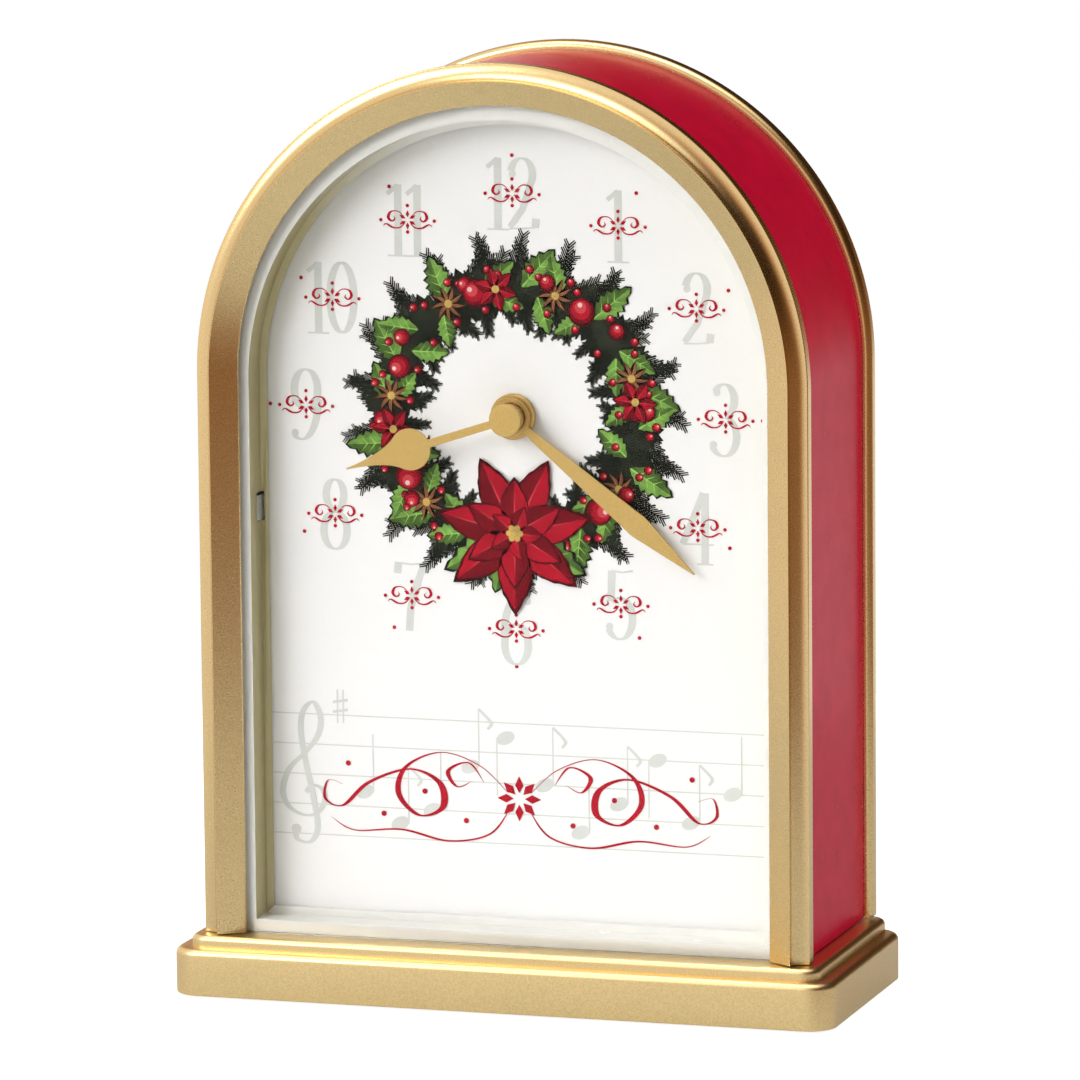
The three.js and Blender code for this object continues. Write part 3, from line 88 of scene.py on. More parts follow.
class ClockSizes(bpy.types.PropertyGroup):
    """Sizes of the mouldings, the print and the hands that the plain frame doesn't give"""

    crest_radius: length_property("Crest radius", "Radius of the front frame's crest", 96.4)
    sight_radius: length_property("Sight radius", "Inner edge of the front frame", 88.2)
    sight_setback: length_property("Sight setback", "How far the inner edge lies behind the crest", 5.4)
    cove_depth: length_property("Cove depth", "Depth of the hollow outside the crest", 4.5)
    rebate_setback: length_property("Rebate setback", "Front of the crystal's rebate behind the crest", 6.6)
    rebate_width: length_property("Rebate width", "Width of the crystal's rebate", 3.7)
    case_wall: length_property("Case wall", "Thickness of the red case", 4)
    rear_round: length_property("Rear round", "Rounding of the rear frame's outer front edge", 2.2)
    opening_radius: length_property("Bezel opening", "Radius of the white bezel's opening", 85.7)
    opening_drop: length_property("Opening drop", "From the arch's centre down to the opening's", 2.4)
    bezel_rail: length_property("Bezel rail", "Width of the bezel's flange along the bottom", 2.9)
    bezel_depth: length_property("Bezel depth", "From the bezel's flange back to its ledge", 10.6)
    ledge_width: length_property("Ledge width", "Width of the ledge in front of the dial", 2.5)
    clip_slot: length_property("Clip slot", "Width of the window in the bezel in front of each clip", 1.1)
    clip_play: length_property("Clip play", "Gap between a clip and its window", 0.3)
    clip_room: length_property("Clip room", "Height of the gap above each clip", 1.2)
    dots_centre: length_property("Dots' centre", "Height of the centre of the ring of dots", 191.7)
    dots_radius: length_property("Dots' radius", "Radius of the ring of dots", 82.5)
    numeral_radius: length_property("Numerals' radius", "Radius of the ring of numerals", 70.3)
    numeral_height: length_property("Numeral height", "Height of the hour numerals", 24)
    garland_radius: length_property("Garland radius", "Radius of the middle of the printed garland", 41)
    garland_height: length_property("Garland height", "Height of the garland's centre", 190.6)
    staff_bottom: length_property("Staff", "Height of the lowest printed staff line", 51)
    staff_spacing: length_property("Staff spacing", "Distance between the staff's lines", 9.9)
    hand_thick: length_property("Hand thickness", "Thickness of the hands' blades", 0.6)
    hand_root: length_property("Hand root", "Width of the hands beside the shaft", 2.6)
    minute_length: length_property("Minute hand", "Length of the minute hand from the shaft", 77.6)
    minute_shoulder: length_property("Minute shoulder", "From the shaft to the widest place", 53.8)
    minute_width: length_property("Minute width", "Widest place of the minute hand", 7.6)
    minute_ring: length_property("Minute ring", "Radius of the minute hand's ring", 6.3)
    hour_length: length_property("Hour hand", "Length of the hour hand from the shaft", 56.7)
    hour_disc: length_property("Hour disc", "Radius of the hour hand's disc", 6.8)
    hour_disc_centre: length_property("Hour disc's centre", "From the shaft to the disc's centre", 34)
    hour_boss: length_property("Hour boss", "Radius of the boss behind the hour hand", 4.6)
    minute_angle: bpy.props.FloatProperty(
        name="Minute angle", description="Clockwise from twelve at rest",
        default=math.radians(128.6), subtype="ANGLE", unit="ROTATION")
    hour_angle: bpy.props.FloatProperty(
        name="Hour angle", description="Clockwise from twelve at rest",
        default=math.radians(251.8), subtype="ANGLE", unit="ROTATION")


def colour_property(name, description, default):
    return bpy.props.FloatVectorProperty(
        name=name, description=description, subtype="COLOR", size=3, min=0, max=1, default=default)


class ClockColours(bpy.types.PropertyGroup):
    """Colours of the clock's finishes, as linear light"""

    gold: colour_property("Gold", "Gold of the two frames", (0.81, 0.62, 0.31))
    base_gold: colour_property("Base gold", "Gold of the base", (0.87, 0.67, 0.33))
    brass: colour_property("Brass", "Hands and the hub", (0.55, 0.37, 0.125))
    red: colour_property("Red", "Lacquer of the case", (0.56, 0.003, 0.032))
    bezel: colour_property("Bezel", "White of the bezel", (0.91, 0.90, 0.86))
    # Painted shade with a painted gold reflection on the bezel's white inner walls, not a colour of the
    # bezel itself
    champagne: colour_property("Champagne", "Inner wall of the bezel", (0.50, 0.44, 0.23))
    dial: colour_property("Dial", "White of the dial", (0.94, 0.93, 0.93))
    grey_ink: colour_property("Grey ink", "Pale grey print", (0.70, 0.72, 0.69))
    red_ink: colour_property("Red ink", "Red print", (0.47, 0.006, 0.022))
    leaf: colour_property("Leaf", "Printed leaves", (0.19, 0.37, 0.07))
    fir: colour_property("Fir", "Printed fir sprigs", (0.010, 0.013, 0.007))
    berry: colour_property("Berry", "Printed berries and blooms", (0.42, 0.004, 0.018))


# Modelling tools


def select(*pieces):
    """Leaves edit mode and selects only these pieces, with the first one active."""
    if bpy.context.object and bpy.context.object.mode != "OBJECT":
        bpy.ops.object.mode_set(mode="OBJECT")
    bpy.ops.object.select_all(action="DESELECT")
    for piece in pieces:
        piece.select_set(True)
    if pieces:
        bpy.context.view_layer.objects.active = pieces[0]


def start_piece(name):
    """A new empty mesh object in edit mode, with its origin at the world's origin."""
    select()
    bpy.ops.mesh.primitive_plane_add(size=MM, location=(0, 0, 0))
    piece = bpy.context.object
    piece.name = name
    piece.data.name = name
    bpy.ops.object.mode_set(mode="EDIT")
    bpy.ops.mesh.select_mode(type="VERT")
    bpy.ops.mesh.select_all(action="SELECT")
    bpy.ops.mesh.delete(type="VERT")
    return piece


def put_point(point):
    """One selected vertex at the point, in the piece that is being edited."""
    bpy.ops.mesh.select_all(action="DESELECT")
    bpy.ops.mesh.primitive_plane_add(size=MM, location=(0, 0, 0))
    bpy.ops.mesh.merge(type="CENTER")
    bpy.ops.transform.translate(value=point)


def extrude(step):
    bpy.ops.mesh.extrude_region_move(TRANSFORM_OT_translate={"value": Vector(step)})


def draw_chain(points):
    """A run of edges through the points, with its last vertex left selected."""
    points = [Vector(point) for point in points]
    put_point(points[0])
    for start, end in zip(points, points[1:]):
        extrude(end - start)


def draw_face(points):
    """A flat face through the points; what was drawn before is hidden meanwhile."""
    bpy.ops.mesh.hide(unselected=False)
    draw_chain(points)
    bpy.ops.mesh.select_all(action="SELECT")
    bpy.ops.mesh.edge_face_add()


def finish_piece(piece, smooth=35):
    """Merges doubles, turns faces outward, shades by angle and leaves edit mode."""
    bpy.ops.mesh.reveal()
    bpy.ops.mesh.select_all(action="SELECT")
    bpy.ops.mesh.remove_doubles(threshold=CLOSE)
    bpy.ops.mesh.normals_make_consistent(inside=False)
    bpy.ops.object.mode_set(mode="OBJECT")
    bpy.ops.object.shade_smooth_by_angle(angle=math.radians(smooth))
    return piece


def apply_modifier(piece, kind, **settings):
    bpy.context.view_layer.objects.active = piece
    modifier = piece.modifiers.new(kind.title(), kind)
    for key, value in settings.items():
        setattr(modifier, key, value)
    bpy.ops.object.modifier_apply(modifier=modifier.name)


def box_piece(name, low, high):
    """A block between two corners, to be shaped further."""
    select()
    bpy.ops.mesh.primitive_cube_add(size=1, location=(low + high) / 2)
    piece = bpy.context.object
    piece.name = name
    piece.data.name = name
    piece.scale = high - low
    bpy.ops.object.transform_apply(location=True, rotation=True, scale=True)
    return piece


def cut_box(piece, low, high):
    """Cuts a block's space out of the piece."""
    cutter = box_piece("cutter", low, high)
    apply_modifier(piece, "BOOLEAN", object=cutter, operation="DIFFERENCE", solver="EXACT")
    bpy.data.objects.remove(cutter)


def soften(piece, width, segments=2, angle=30):
    """Small rounds on the piece's sharp edges."""
    apply_modifier(
        piece, "BEVEL", width=width, segments=segments, limit_method="ANGLE",
        angle_limit=math.radians(angle), use_clamp_overlap=True)
    select(piece)
    bpy.ops.object.shade_smooth_by_angle(angle=math.radians(angle))


def sweep_arch(name, section):
    """A closed section of (radius, y) drawn at the right foot, raised, turned over and lowered."""
    piece = start_piece(name)
    draw_face([(radius, y, FOOT) for radius, y in section])
    extrude((0, 0, SPRING - FOOT))
    bpy.ops.mesh.spin(steps=ARCH_STEPS, angle=math.pi, center=(0, 0, SPRING), axis=(0, 1, 0))
    extrude((0, 0, FOOT - SPRING))
    return finish_piece(piece)


def arch_face(radius, bottom, y):
    """An arch-shaped face that looks towards the front, left selected."""
    put_point((radius, y, bottom))
    extrude((0, 0, SPRING - bottom))
    bpy.ops.mesh.spin(steps=BEZEL_STEPS, angle=math.pi, center=(0, 0, SPRING), axis=(0, 1, 0))
    extrude((0, 0, bottom - SPRING))
    bpy.ops.mesh.select_all(action="SELECT")
    bpy.ops.mesh.edge_face_add()


def turn_piece(name, section, centre, steps=64, smooth=30):
    """An open section of (radius, y), from axis to axis, spun about the Y axis through the centre."""
    piece = start_piece(name)
    x, z = centre
    draw_chain([(x + radius, y, z) for radius, y in section])
    bpy.ops.mesh.select_all(action="SELECT")
    bpy.ops.mesh.spin(steps=steps, angle=2 * math.pi, center=(x, 0, z), axis=(0, -1, 0))
    return finish_piece(piece, smooth)


def ring_piece(name, radius, bore, front, back, rim=0.15 * MM):
    """A turned ring about the origin's Y axis, with soft outer edges."""
    section = [
        (bore, back), (bore, front), (radius - rim, front), (radius, front + rim),
        (radius, back - rim), (radius - rim, back), (bore, back)]
    return turn_piece(name, section, (0, 0))


def paint_faces(piece, material, test):
    """Gives the faces for which test holds a second finish."""
    piece.data.materials.append(material)
    index = len(piece.data.materials) - 1
    for face in piece.data.polygons:
        if test(face.center, face.normal):
            face.material_index = index


def place(piece, body, material, slot, *nodes):
    """Gives the piece its finish and its body, and hides the nodes that it stands for."""
    piece.data.materials.clear()
    piece.data.materials.append(material)
    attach(piece, body)
    if nodes:
        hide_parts(*nodes)
    return piece


def place_many(name, pieces, body):
    """Joins finished pieces into one and sets it on its body."""
    piece = join_pieces(name, pieces)
    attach(piece, body)
    return piece


def copy_piece(piece, name):
    """A copy with its own mesh."""
    select(piece)
    bpy.ops.object.duplicate()
    made = bpy.context.object
    made.name = name
    return made


def join_pieces(name, pieces):
    select(*pieces)
    if len(pieces) > 1:
        bpy.ops.object.join()
    pieces[0].name = name
    return pieces[0]


def move_piece(piece, offset, turn=0, scale=1, lay=0):
    """Scales and turns the piece about the world's origin, in the dial's plane or laid sideways."""
    select(piece)
    piece.scale = (scale, 1, scale)
    piece.rotation_euler = (0, turn, lay)
    piece.location = offset
    bpy.ops.object.transform_apply(location=True, rotation=True, scale=True)
    return piece


# Curves for the print, in the dial's plane

PRINT_LIFT = 0.04 * MM  # between two printed layers
STROKE_RISE = 0.03 * MM  # along one pen stroke
COPY_RISE = 0.005 * MM  # between two neighbouring copies of a printed motif
COPY_STEPS = 7  # copies before the rise starts again
PEN_STEP = 0.004 * MM  # between two strokes of one digit


def spline(points, steps=6):
    """A smooth run of points through the given (x, z) points."""
    ends = [points[0], *points, points[-1]]
    run = []
    for a, b, c, d in zip(ends, ends[1:], ends[2:], ends[3:]):
        for i in range(steps):
            t = i / steps
            run.append(tuple(
                0.5 * (2 * q + (r - p) * t + (2 * p - 5 * q + 4 * r - s) * t * t
                       + (3 * q - p - 3 * r + s) * t ** 3)
                for p, q, r, s in zip(a, b, c, d)))
    run.append(tuple(points[-1]))
    return run


def arc(cx, cz, rx, rz, start, end, steps=18):
    """Points along part of an ellipse, with angles in degrees."""
    turn = [math.radians(start + (end - start) * i / steps) for i in range(steps + 1)]
    return [(cx + rx * math.cos(a), cz + rz * math.sin(a)) for a in turn]


def pen_stroke(path, y, thin, thick, taper=False):
    """A flat ribbon along the path, broad where it runs upright and fine where it runs level.

    It climbs a little along its length, so that a stroke that crosses itself stays clean.
    """
    left, right = [], []
    last = len(path) - 1
    for i, (x, z) in enumerate(path):
        level = y - STROKE_RISE * i / last
        ahead = path[min(i + 1, last)]
        behind = path[max(i - 1, 0)]
        dx, dz = ahead[0] - behind[0], ahead[1] - behind[1]
        length = math.hypot(dx, dz) or 1
        half = (thin + (thick - thin) * abs(dz / length) ** 1.6) / 2
        if taper:
            half *= max(0.12, math.sin(math.pi * min(max(i / last, 0.02), 0.98)))
        nx, nz = -dz / length * half, dx / length * half
        left.append((x + nx, level, z + nz))
        right.append((x - nx, level, z - nz))
    bpy.ops.mesh.hide(unselected=False)
    draw_chain(left)
    draw_chain(right)
    bpy.ops.mesh.select_all(action="SELECT")
    bpy.ops.mesh.bridge_edge_loops()


def print_face(shape, y, scale=1):
    """A flat face from (x, z) points."""
    draw_face([(x * scale, y, z * scale) for x, z in shape])


def round_shape(x, z, radius, sides):
    """A circle's points, without the last one that would meet the first."""
    return arc(x, z, radius, radius, 0, 360 - 360 / sides, sides - 1)


def dot(x, z, y, radius, sides=20):
    """A flat round dot."""
    print_face(round_shape(x, z, radius, sides), y)


def turned(shape, turn):
    """The (x, z) points turned clockwise about the origin."""
    cos, sin = math.cos(turn), math.sin(turn)
    return [(x * cos + z * sin, z * cos - x * sin) for x, z in shape]


# Shader nodes

SPECKLE_SHARE = 0.5  # of the fine grain in the speckle's colour
BUMP_DEPTH = 0.05 * MM
WHITE = (1, 1, 1, 1)


def set_inputs(tree, node, inputs):
    """Gives each input its value, or links it where the value is another node's socket."""
    for label, value in dict(inputs).items():
        if isinstance(value, bpy.types.NodeSocket):
            tree.links.new(value, node.inputs[label])
        else:
            node.inputs[label].default_value = value


def add_node(tree, kind, inputs=(), **settings):
    """A shader node with its settings and inputs."""
    node = tree.nodes.new("ShaderNode" + kind)
    for key, value in settings.items():
        setattr(node, key, value)
    set_inputs(tree, node, inputs)
    return node


def maths(tree, operation, *values, **settings):
    """The result of one operation on values or sockets."""
    return add_node(tree, "Math", enumerate(values), operation=operation, **settings).outputs[0]


def mix_colours(tree, share, first, second):
    """From the first colour to the second one as the share grows."""
    mix = add_node(tree, "Mix", data_type="RGBA")
    set_inputs(tree, mix, {"Factor": share, "A": first, "B": second})
    return mix.outputs["Result"]


def spread_out(tree, value, low, high):
    """The part of the way that the value has come from low to high."""
    inputs = {"Value": value, "From Min": low, "From Max": high}
    return add_node(tree, "MapRange", inputs).outputs["Result"]


def noise(tree, **inputs):
    """Cloudy noise on the object's own coordinates."""
    place_on = add_node(tree, "TexCoord")
    cloud = add_node(tree, "TexNoise", inputs)
    tree.links.new(place_on.outputs["Object"], cloud.inputs["Vector"])
    return cloud.outputs["Fac"]


def new_group(name, inputs):
    """A node group with its inputs, that puts out a colour, a height and a roughness."""
    group = bpy.data.node_groups.new(name, "ShaderNodeTree")
    colour, number = "NodeSocketColor", "NodeSocketFloat"
    for label, default in inputs.items():
        kind = colour if isinstance(default, tuple) else number
        socket = group.interface.new_socket(label, in_out="INPUT", socket_type=kind)
        socket.default_value = default
    for label, kind in (("Colour", colour), ("Height", number), ("Roughness", number)):
        group.interface.new_socket(label, in_out="OUTPUT", socket_type=kind)
    return group, group.nodes.new("NodeGroupInput").outputs


def give_out(group, given, share, height, cloud, roughening):
    """The two tones mixed by the share, the height, and the roughness with a part of the cloud."""
    results = (
        mix_colours(group, share, given[0], given[1]), height,
        maths(group, "MULTIPLY_ADD", cloud, roughening, given["Roughness"]))
    made = group.nodes.new("NodeGroupOutput")
    for result, socket in zip(results, made.inputs):
        group.links.new(result, socket)
    return group


def speckle_group():
    """Fine speckle with faint broad patches."""
    group, given = new_group("Fine speckle", {
        "Light tone": WHITE, "Dark tone": (0, 0, 0, 1), "Scale": 1500, "Roughness": 0.3})
    fine = noise(group, Scale=given["Scale"], Detail=3)
    broad = noise(group, Scale=22, Detail=4)
    sharp = spread_out(group, fine, 0.35, 0.65)
    patch = maths(group, "MULTIPLY_ADD", broad, 0.30, -0.10)
    grain = maths(group, "MULTIPLY", sharp, SPECKLE_SHARE)
    total = maths(group, "ADD", grain, patch, use_clamp=True)
    return give_out(group, given, total, sharp, total, 0.12)


def mottle_group():
    """Soft cloudy variation."""
    group, given = new_group("Soft mottle", {
        "Colour": WHITE, "Second colour": (0.5, 0.5, 0.5, 1), "Scale": 60, "Roughness": 0.4})
    cloud = noise(group, Scale=given["Scale"], Detail=6, Roughness=0.6)
    share = spread_out(group, cloud, 0.3, 0.7)
    return give_out(group, given, share, cloud, cloud, 0.08)


GROUPS = {}
FINISHES = {}


def shared_group(make):
    if make not in GROUPS:
        GROUPS[make] = make()
    return GROUPS[make]


def new_material(name):
    """Makes a material, keeps it among the finishes, and gives its node tree and its shader."""
    material = bpy.data.materials.new(name)
    material.use_nodes = True
    FINISHES[name] = material
    return material.node_tree, material.node_tree.nodes["Principled BSDF"]


def rgba(colour, factor):
    return (*[min(1, channel * factor) for channel in colour], 1)


def finish_with(name, group, colour, tones, scale, roughness, bump, **plain):
    """A finish whose colour, roughness and bump come from one of the shared groups.

    The tones are factors on the colour, for its light and its dark parts. Plain values are the
    shader's own, with an underscore for each space in their names.
    """
    if name in FINISHES:
        return FINISHES[name]
    tree, shader = new_material(name)
    light, dark = tones
    given = (rgba(colour, light), rgba(colour, dark), scale, roughness)
    source = add_node(tree, "Group", node_tree=shared_group(group))
    set_inputs(tree, source, enumerate(given))
    bumps = add_node(tree, "Bump", {
        "Strength": bump, "Distance": BUMP_DEPTH, "Height": source.outputs["Height"]})
    set_inputs(tree, shader, {
        "Base Color": source.outputs["Colour"], "Roughness": source.outputs["Roughness"],
        "Normal": bumps.outputs["Normal"]})
    set_inputs(tree, shader, {label.replace("_", " "): value for label, value in plain.items()})
    return FINISHES[name]


def speckled(name, *look, **plain):
    return finish_with(name, speckle_group, *look, **plain)


def mottled(name, *look, **plain):
    return finish_with(name, mottle_group, *look, **plain)


def colours():
    return bpy.context.scene.clock_colours


def sizes():
    return bpy.context.scene.clock_sizes


# Finishes: colour, tones, scale, roughness, bump


def gold_lacquer():
    return speckled("gold_lacquer", colours().gold, (1.06, 0.78), 2400, 0.22, 0.12, Metallic=1)


def base_gold():
    return speckled("base_gold", colours().base_gold, (1.08, 0.74), 1900, 0.30, 0.30, Metallic=1)


def satin_brass():
    return speckled("satin_brass", colours().brass, (1.05, 0.85), 3200, 0.36, 0.06, Metallic=1)


def hand_brass():
    return speckled("hand_brass", colours().brass, (1.06, 0.80), 2600, 0.42, 0.14, Metallic=1)


def plated_steel():
    return speckled("plated_steel", (0.60, 0.61, 0.62), (1.0, 0.8), 2600, 0.28, 0.08, Metallic=1)


def copper_winding():
    return speckled("copper_winding", (0.52, 0.22, 0.09), (1.1, 0.6), 2000, 0.35, 0.5, Metallic=1)


def clip_metal():
    return speckled("clip_metal", (0.66, 0.66, 0.60), (1.0, 0.85), 2600, 0.5, 0.08, Metallic=0.3)


def cell_band():
    return mottled("cell_band", (0.45, 0.23, 0.09), (1.1, 0.8), 60, 0.26, 0.05, Metallic=0.6)


def cell_wrap():
    return mottled("cell_wrap", (0.03, 0.09, 0.22), (1.1, 0.8), 60, 0.28, 0.05, Coat_Weight=0.5)


def red_lacquer():
    return mottled("red_lacquer", colours().red, (1.0, 0.82), 90, 0.22, 0.18, Specular_IOR_Level=0.04)


def bezel_white():
    return mottled("bezel_white", colours().bezel, (1.0, 0.97), 120, 0.22, 0.03, Coat_Weight=0.3)


def bare_board():
    return speckled("bare_board", (0.30, 0.20, 0.12), (1.0, 0.7), 700, 0.7, 0.5)


def dial_card():
    return speckled("dial_card", colours().dial, (1.0, 0.985), 900, 0.55, 0.02)


def white_paint():
    return mottled("white_paint", (0.8, 0.8, 0.78), (1.0, 0.9), 200, 0.5, 0.1)


def melody_red():
    return speckled("melody_red", (0.33, 0.02, 0.03), (1.1, 0.8), 1500, 0.4, 0.2)


def moulded_black():
    return speckled("moulded_black", (0.020, 0.020, 0.022), (1.4, 0.7), 1500, 0.45, 0.3)


def moulded_nylon():
    return mottled("moulded_nylon", (0.74, 0.71, 0.62), (1.0, 0.92), 90, 0.42, 0.1)


def hardboard():
    return speckled("hardboard", (0.105, 0.062, 0.036), (1.25, 0.6), 620, 0.62, 0.5)


def felt_cloth():
    return speckled("felt_cloth", (0.035, 0.045, 0.036), (1.6, 0.5), 900, 0.9, 1.0)


def soft_rubber():
    return mottled("soft_rubber", (0.025, 0.025, 0.025), (1.2, 0.7), 300, 0.75, 0.2)


def solder_mask():
    return mottled("solder_mask", (0.02, 0.12, 0.045), (1.2, 0.7), 220, 0.35, 0.2)


def wire_sleeve():
    return mottled("wire_sleeve", (0.35, 0.01, 0.01), (1.1, 0.8), 300, 0.4, 0.1)


def paper_cone():
    return speckled("paper_cone", (0.03, 0.028, 0.026), (1.5, 0.6), 1300, 0.8, 0.8)


def champagne():
    """Painted shade with a painted gold reflection on the bezel's upright inner walls, an olive-champagne
    tint which fades to the bezel's white at the top.
    """
    if "champagne" in FINISHES:
        return FINISHES["champagne"]
    material = mottled("champagne", colours().champagne, (1.0, 0.9), 160, 0.4, 0.03, Metallic=0.3)
    tree = material.node_tree
    shader = tree.nodes["Principled BSDF"]
    white_reach, full_shade_reach = 25 * MM, 70 * MM  # to either side of the middle
    # The painted shade gives way to the bezel's white near the top's middle and is full further out
    parts = add_node(tree, "SeparateXYZ", {0: add_node(tree, "TexCoord").outputs["Object"]})
    sideways = maths(tree, "ABSOLUTE", parts.outputs["X"])
    share = spread_out(tree, sideways, white_reach, full_shade_reach)
    shaded_wall_colour = shader.inputs["Base Color"].links[0].from_socket
    mixed = mix_colours(tree, share, rgba(colours().bezel, 0.95), shaded_wall_colour)
    tree.links.new(mixed, shader.inputs["Base Color"])
    return material


def clear_glass():
    """Clear pane with a faint cloud of dust in its roughness."""
    if "clear_glass" not in FINISHES:
        tree, shader = new_material("clear_glass")
        dust = add_node(tree, "Group", node_tree=shared_group(mottle_group))
        set_inputs(tree, dust, {"Scale": 40, "Roughness": -0.03})
        set_inputs(tree, shader, {
            "Base Color": WHITE, "Transmission Weight": 1, "IOR": 1.15,
            "Roughness": dust.outputs["Roughness"]})
    return FINISHES["clear_glass"]


def ink(name, colour, light=1.1, dark=0.85, scale=180):
    """Matt print in two tones of one colour."""
    return mottled(name, colour, (light, dark), scale, 0.7, 0.0, Specular_IOR_Level=0.1)


def grey_ink():
    return ink("grey_ink", colours().grey_ink, 1.03, 0.95)


def red_ink():
    return ink("red_ink", colours().red_ink)


def leaf_ink():
    return ink("leaf_ink", colours().leaf, 1.3, 0.55, 260)


def leaf_light_ink():
    return ink("leaf_light_ink", colours().leaf, 2.0, 1.4, 260)


def leaf_shade_ink():
    return ink("leaf_shade_ink", colours().leaf, 0.55, 0.2, 260)


def fir_ink():
    return ink("fir_ink", colours().fir, 1.5, 0.5)


def fir_light_ink():
    return ink("fir_light_ink", colours().fir, 3.2, 0.8)


def berry_ink():
    return ink("berry_ink", colours().berry, 1.2, 0.8, 260)


def berry_light_ink():
    return ink("berry_light_ink", (0.62, 0.055, 0.07), 1.1, 0.9, 260)


def berry_dark_ink():
    return ink("berry_dark_ink", colours().berry, 0.55, 0.3, 260)


def berry_edge_ink():
    return ink("berry_edge_ink", colours().berry, 0.22, 0.1, 260)


def glint_ink():
    return ink("glint_ink", (0.86, 0.62, 0.58), 1.0, 0.8, 300)


def seed_ink():
    return ink("seed_ink", (0.66, 0.44, 0.12), 1.1, 0.7, 300)


def husk_ink():
    return ink("husk_ink", (0.27, 0.10, 0.045), 1.3, 0.7, 400)


def husk_dark_ink():
    return ink("husk_dark_ink", (0.07, 0.025, 0.015), 1.3, 0.6, 400)


# Pieces of the base and the case


class CLOCK_OT_base(bpy.types.Operator):
    """Gold slab and step board of the base"""

    bl_idname = "clock.base"
    bl_label = "Base"

    SLAB_CORNER, SLAB_EDGE, SLAB_UNDER_EDGE = 9 * MM, 2.2 * MM, 0.5 * MM
    STEP_CORNER = 6 * MM
    STEP_EDGE = 0.5  # of the step's height
    STEP_SUNK = 0.1 * MM  # how far the step's underside reaches into the slab
    CORNER_SEGMENTS, EDGE_SEGMENTS = 10, 8

    def board(self, name, low, high, corner, edge, bottom_edge=0):
        """A board from a block: upright corners first, then the edges on top and below."""
        piece = box_piece(name, low, high)
        bpy.ops.object.mode_set(mode="EDIT")
        self.select_edges(piece, lambda a, b: abs(a.z - b.z) > corner / 2)
        bpy.ops.mesh.bevel(offset=corner, segments=self.CORNER_SEGMENTS, affect="EDGES")
        for level, width in ((high.z, edge), (low.z, bottom_edge)):
            if width:
                self.select_edges(piece, lambda a, b: max(abs(a.z - level), abs(b.z - level)) < CLOSE)
                bpy.ops.mesh.bevel(offset=width, segments=self.EDGE_SEGMENTS, affect="EDGES")
        return finish_piece(piece, 40)

    def select_edges(self, piece, test):
        bpy.ops.mesh.select_mode(type="EDGE")
        bpy.ops.mesh.select_all(action="DESELECT")
        bpy.ops.object.mode_set(mode="OBJECT")
        vertices = piece.data.vertices
        for edge in piece.data.edges:
            a, b = [vertices[i].co for i in edge.vertices]
            edge.select = test(a, b)
        bpy.ops.object.mode_set(mode="EDIT")

    def execute(self, context):
        slab = self.board(
            "slab", SLAB_LOW, SLAB_HIGH, self.SLAB_CORNER, self.SLAB_EDGE, self.SLAB_UNDER_EDGE)
        place(slab, "case", base_gold(), "gold_base", "base_slab")
        step_foot = Vector((STEP_LOW.x, STEP_LOW.y, SLAB_HIGH.z - self.STEP_SUNK))
        round_over = (STEP_HIGH.z - STEP_LOW.z) * self.STEP_EDGE
        step = self.board("step", step_foot, STEP_HIGH, self.STEP_CORNER, round_over)
        place(step, "case", base_gold(), "gold_base", "step_board")
        return {"FINISHED"}


class CLOCK_OT_front_frame(bpy.types.Operator):
    """Arched gold moulding in front of the case"""

    bl_idname = "clock.front_frame"
    bl_label = "Front Frame"

    def execute(self, context):
        size = sizes()
        cove_width = FRAME_RADIUS - size.crest_radius
        cove = arc(FRAME_RADIUS, CREST, cove_width, size.cove_depth, 180, 90, 12)
        rebate = size.sight_radius + size.rebate_width
        section = [
            (size.sight_radius, CREST + size.rebate_setback),
            (size.sight_radius, CREST + size.sight_setback), *cove, (FRAME_RADIUS, FRAME_HIGH.y),
            (rebate, FRAME_HIGH.y), (rebate, CREST + size.rebate_setback)]
        piece = sweep_arch("front_moulding", section)
        soften(piece, 0.25 * MM, 2, 32)
        place(piece, "case", gold_lacquer(), "gold_frame", "front_frame")
        return {"FINISHED"}


class CLOCK_OT_case(bpy.types.Operator):
    """Red arched case"""

    bl_idname = "clock.case"
    bl_label = "Case"

    def execute(self, context):
        inside = CASE_RADIUS - sizes().case_wall
        section = [
            (inside, CASE_LOW.y), (CASE_RADIUS, CASE_LOW.y),
            (CASE_RADIUS, CASE_HIGH.y), (inside, CASE_HIGH.y)]
        piece = sweep_arch("red_case", section)
        soften(piece, 0.3 * MM, 2, 50)
        place(piece, "case", red_lacquer(), "red_case", "case_shell")
        paint_faces(piece, bare_board(), self.faces_inward)
        return {"FINISHED"}

    def faces_inward(self, centre, normal):
        outward = Vector((centre.x, 0, max(0, centre.z - SPRING)))
        return abs(normal.y) < 0.5 and normal.dot(outward) < 0


class CLOCK_OT_rear_frame(bpy.types.Operator):
    """Arched gold ring behind the case"""

    bl_idname = "clock.rear_frame"
    bl_label = "Rear Frame"

    COLLAR_WIDTH = 5 * MM  # of the ledge that the back panel rests on

    def execute(self, context):
        panel_low, panel_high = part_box("back_panel")
        size = sizes()
        inside = CASE_RADIUS - size.case_wall
        fitted = panel_high.x
        collar = fitted - self.COLLAR_WIDTH
        front = CASE_HIGH.y + GAP
        floor = panel_low.y - GAP
        edge = size.rear_round
        rounded = arc(FRAME_RADIUS - edge, front + edge, edge, edge, -90, 0, 8)
        section = [
            (collar, REAR_LOW.y), (fitted, REAR_LOW.y), (fitted, front), *rounded,
            (FRAME_RADIUS, REAR_HIGH.y), (inside, REAR_HIGH.y), (inside, floor), (collar, floor)]
        piece = sweep_arch("rear_moulding", section)
        soften(piece, 0.5 * MM, 3, 50)
        place(piece, "case", gold_lacquer(), "gold_frame", "rear_frame")
        return {"FINISHED"}


# Bezel, dial and print


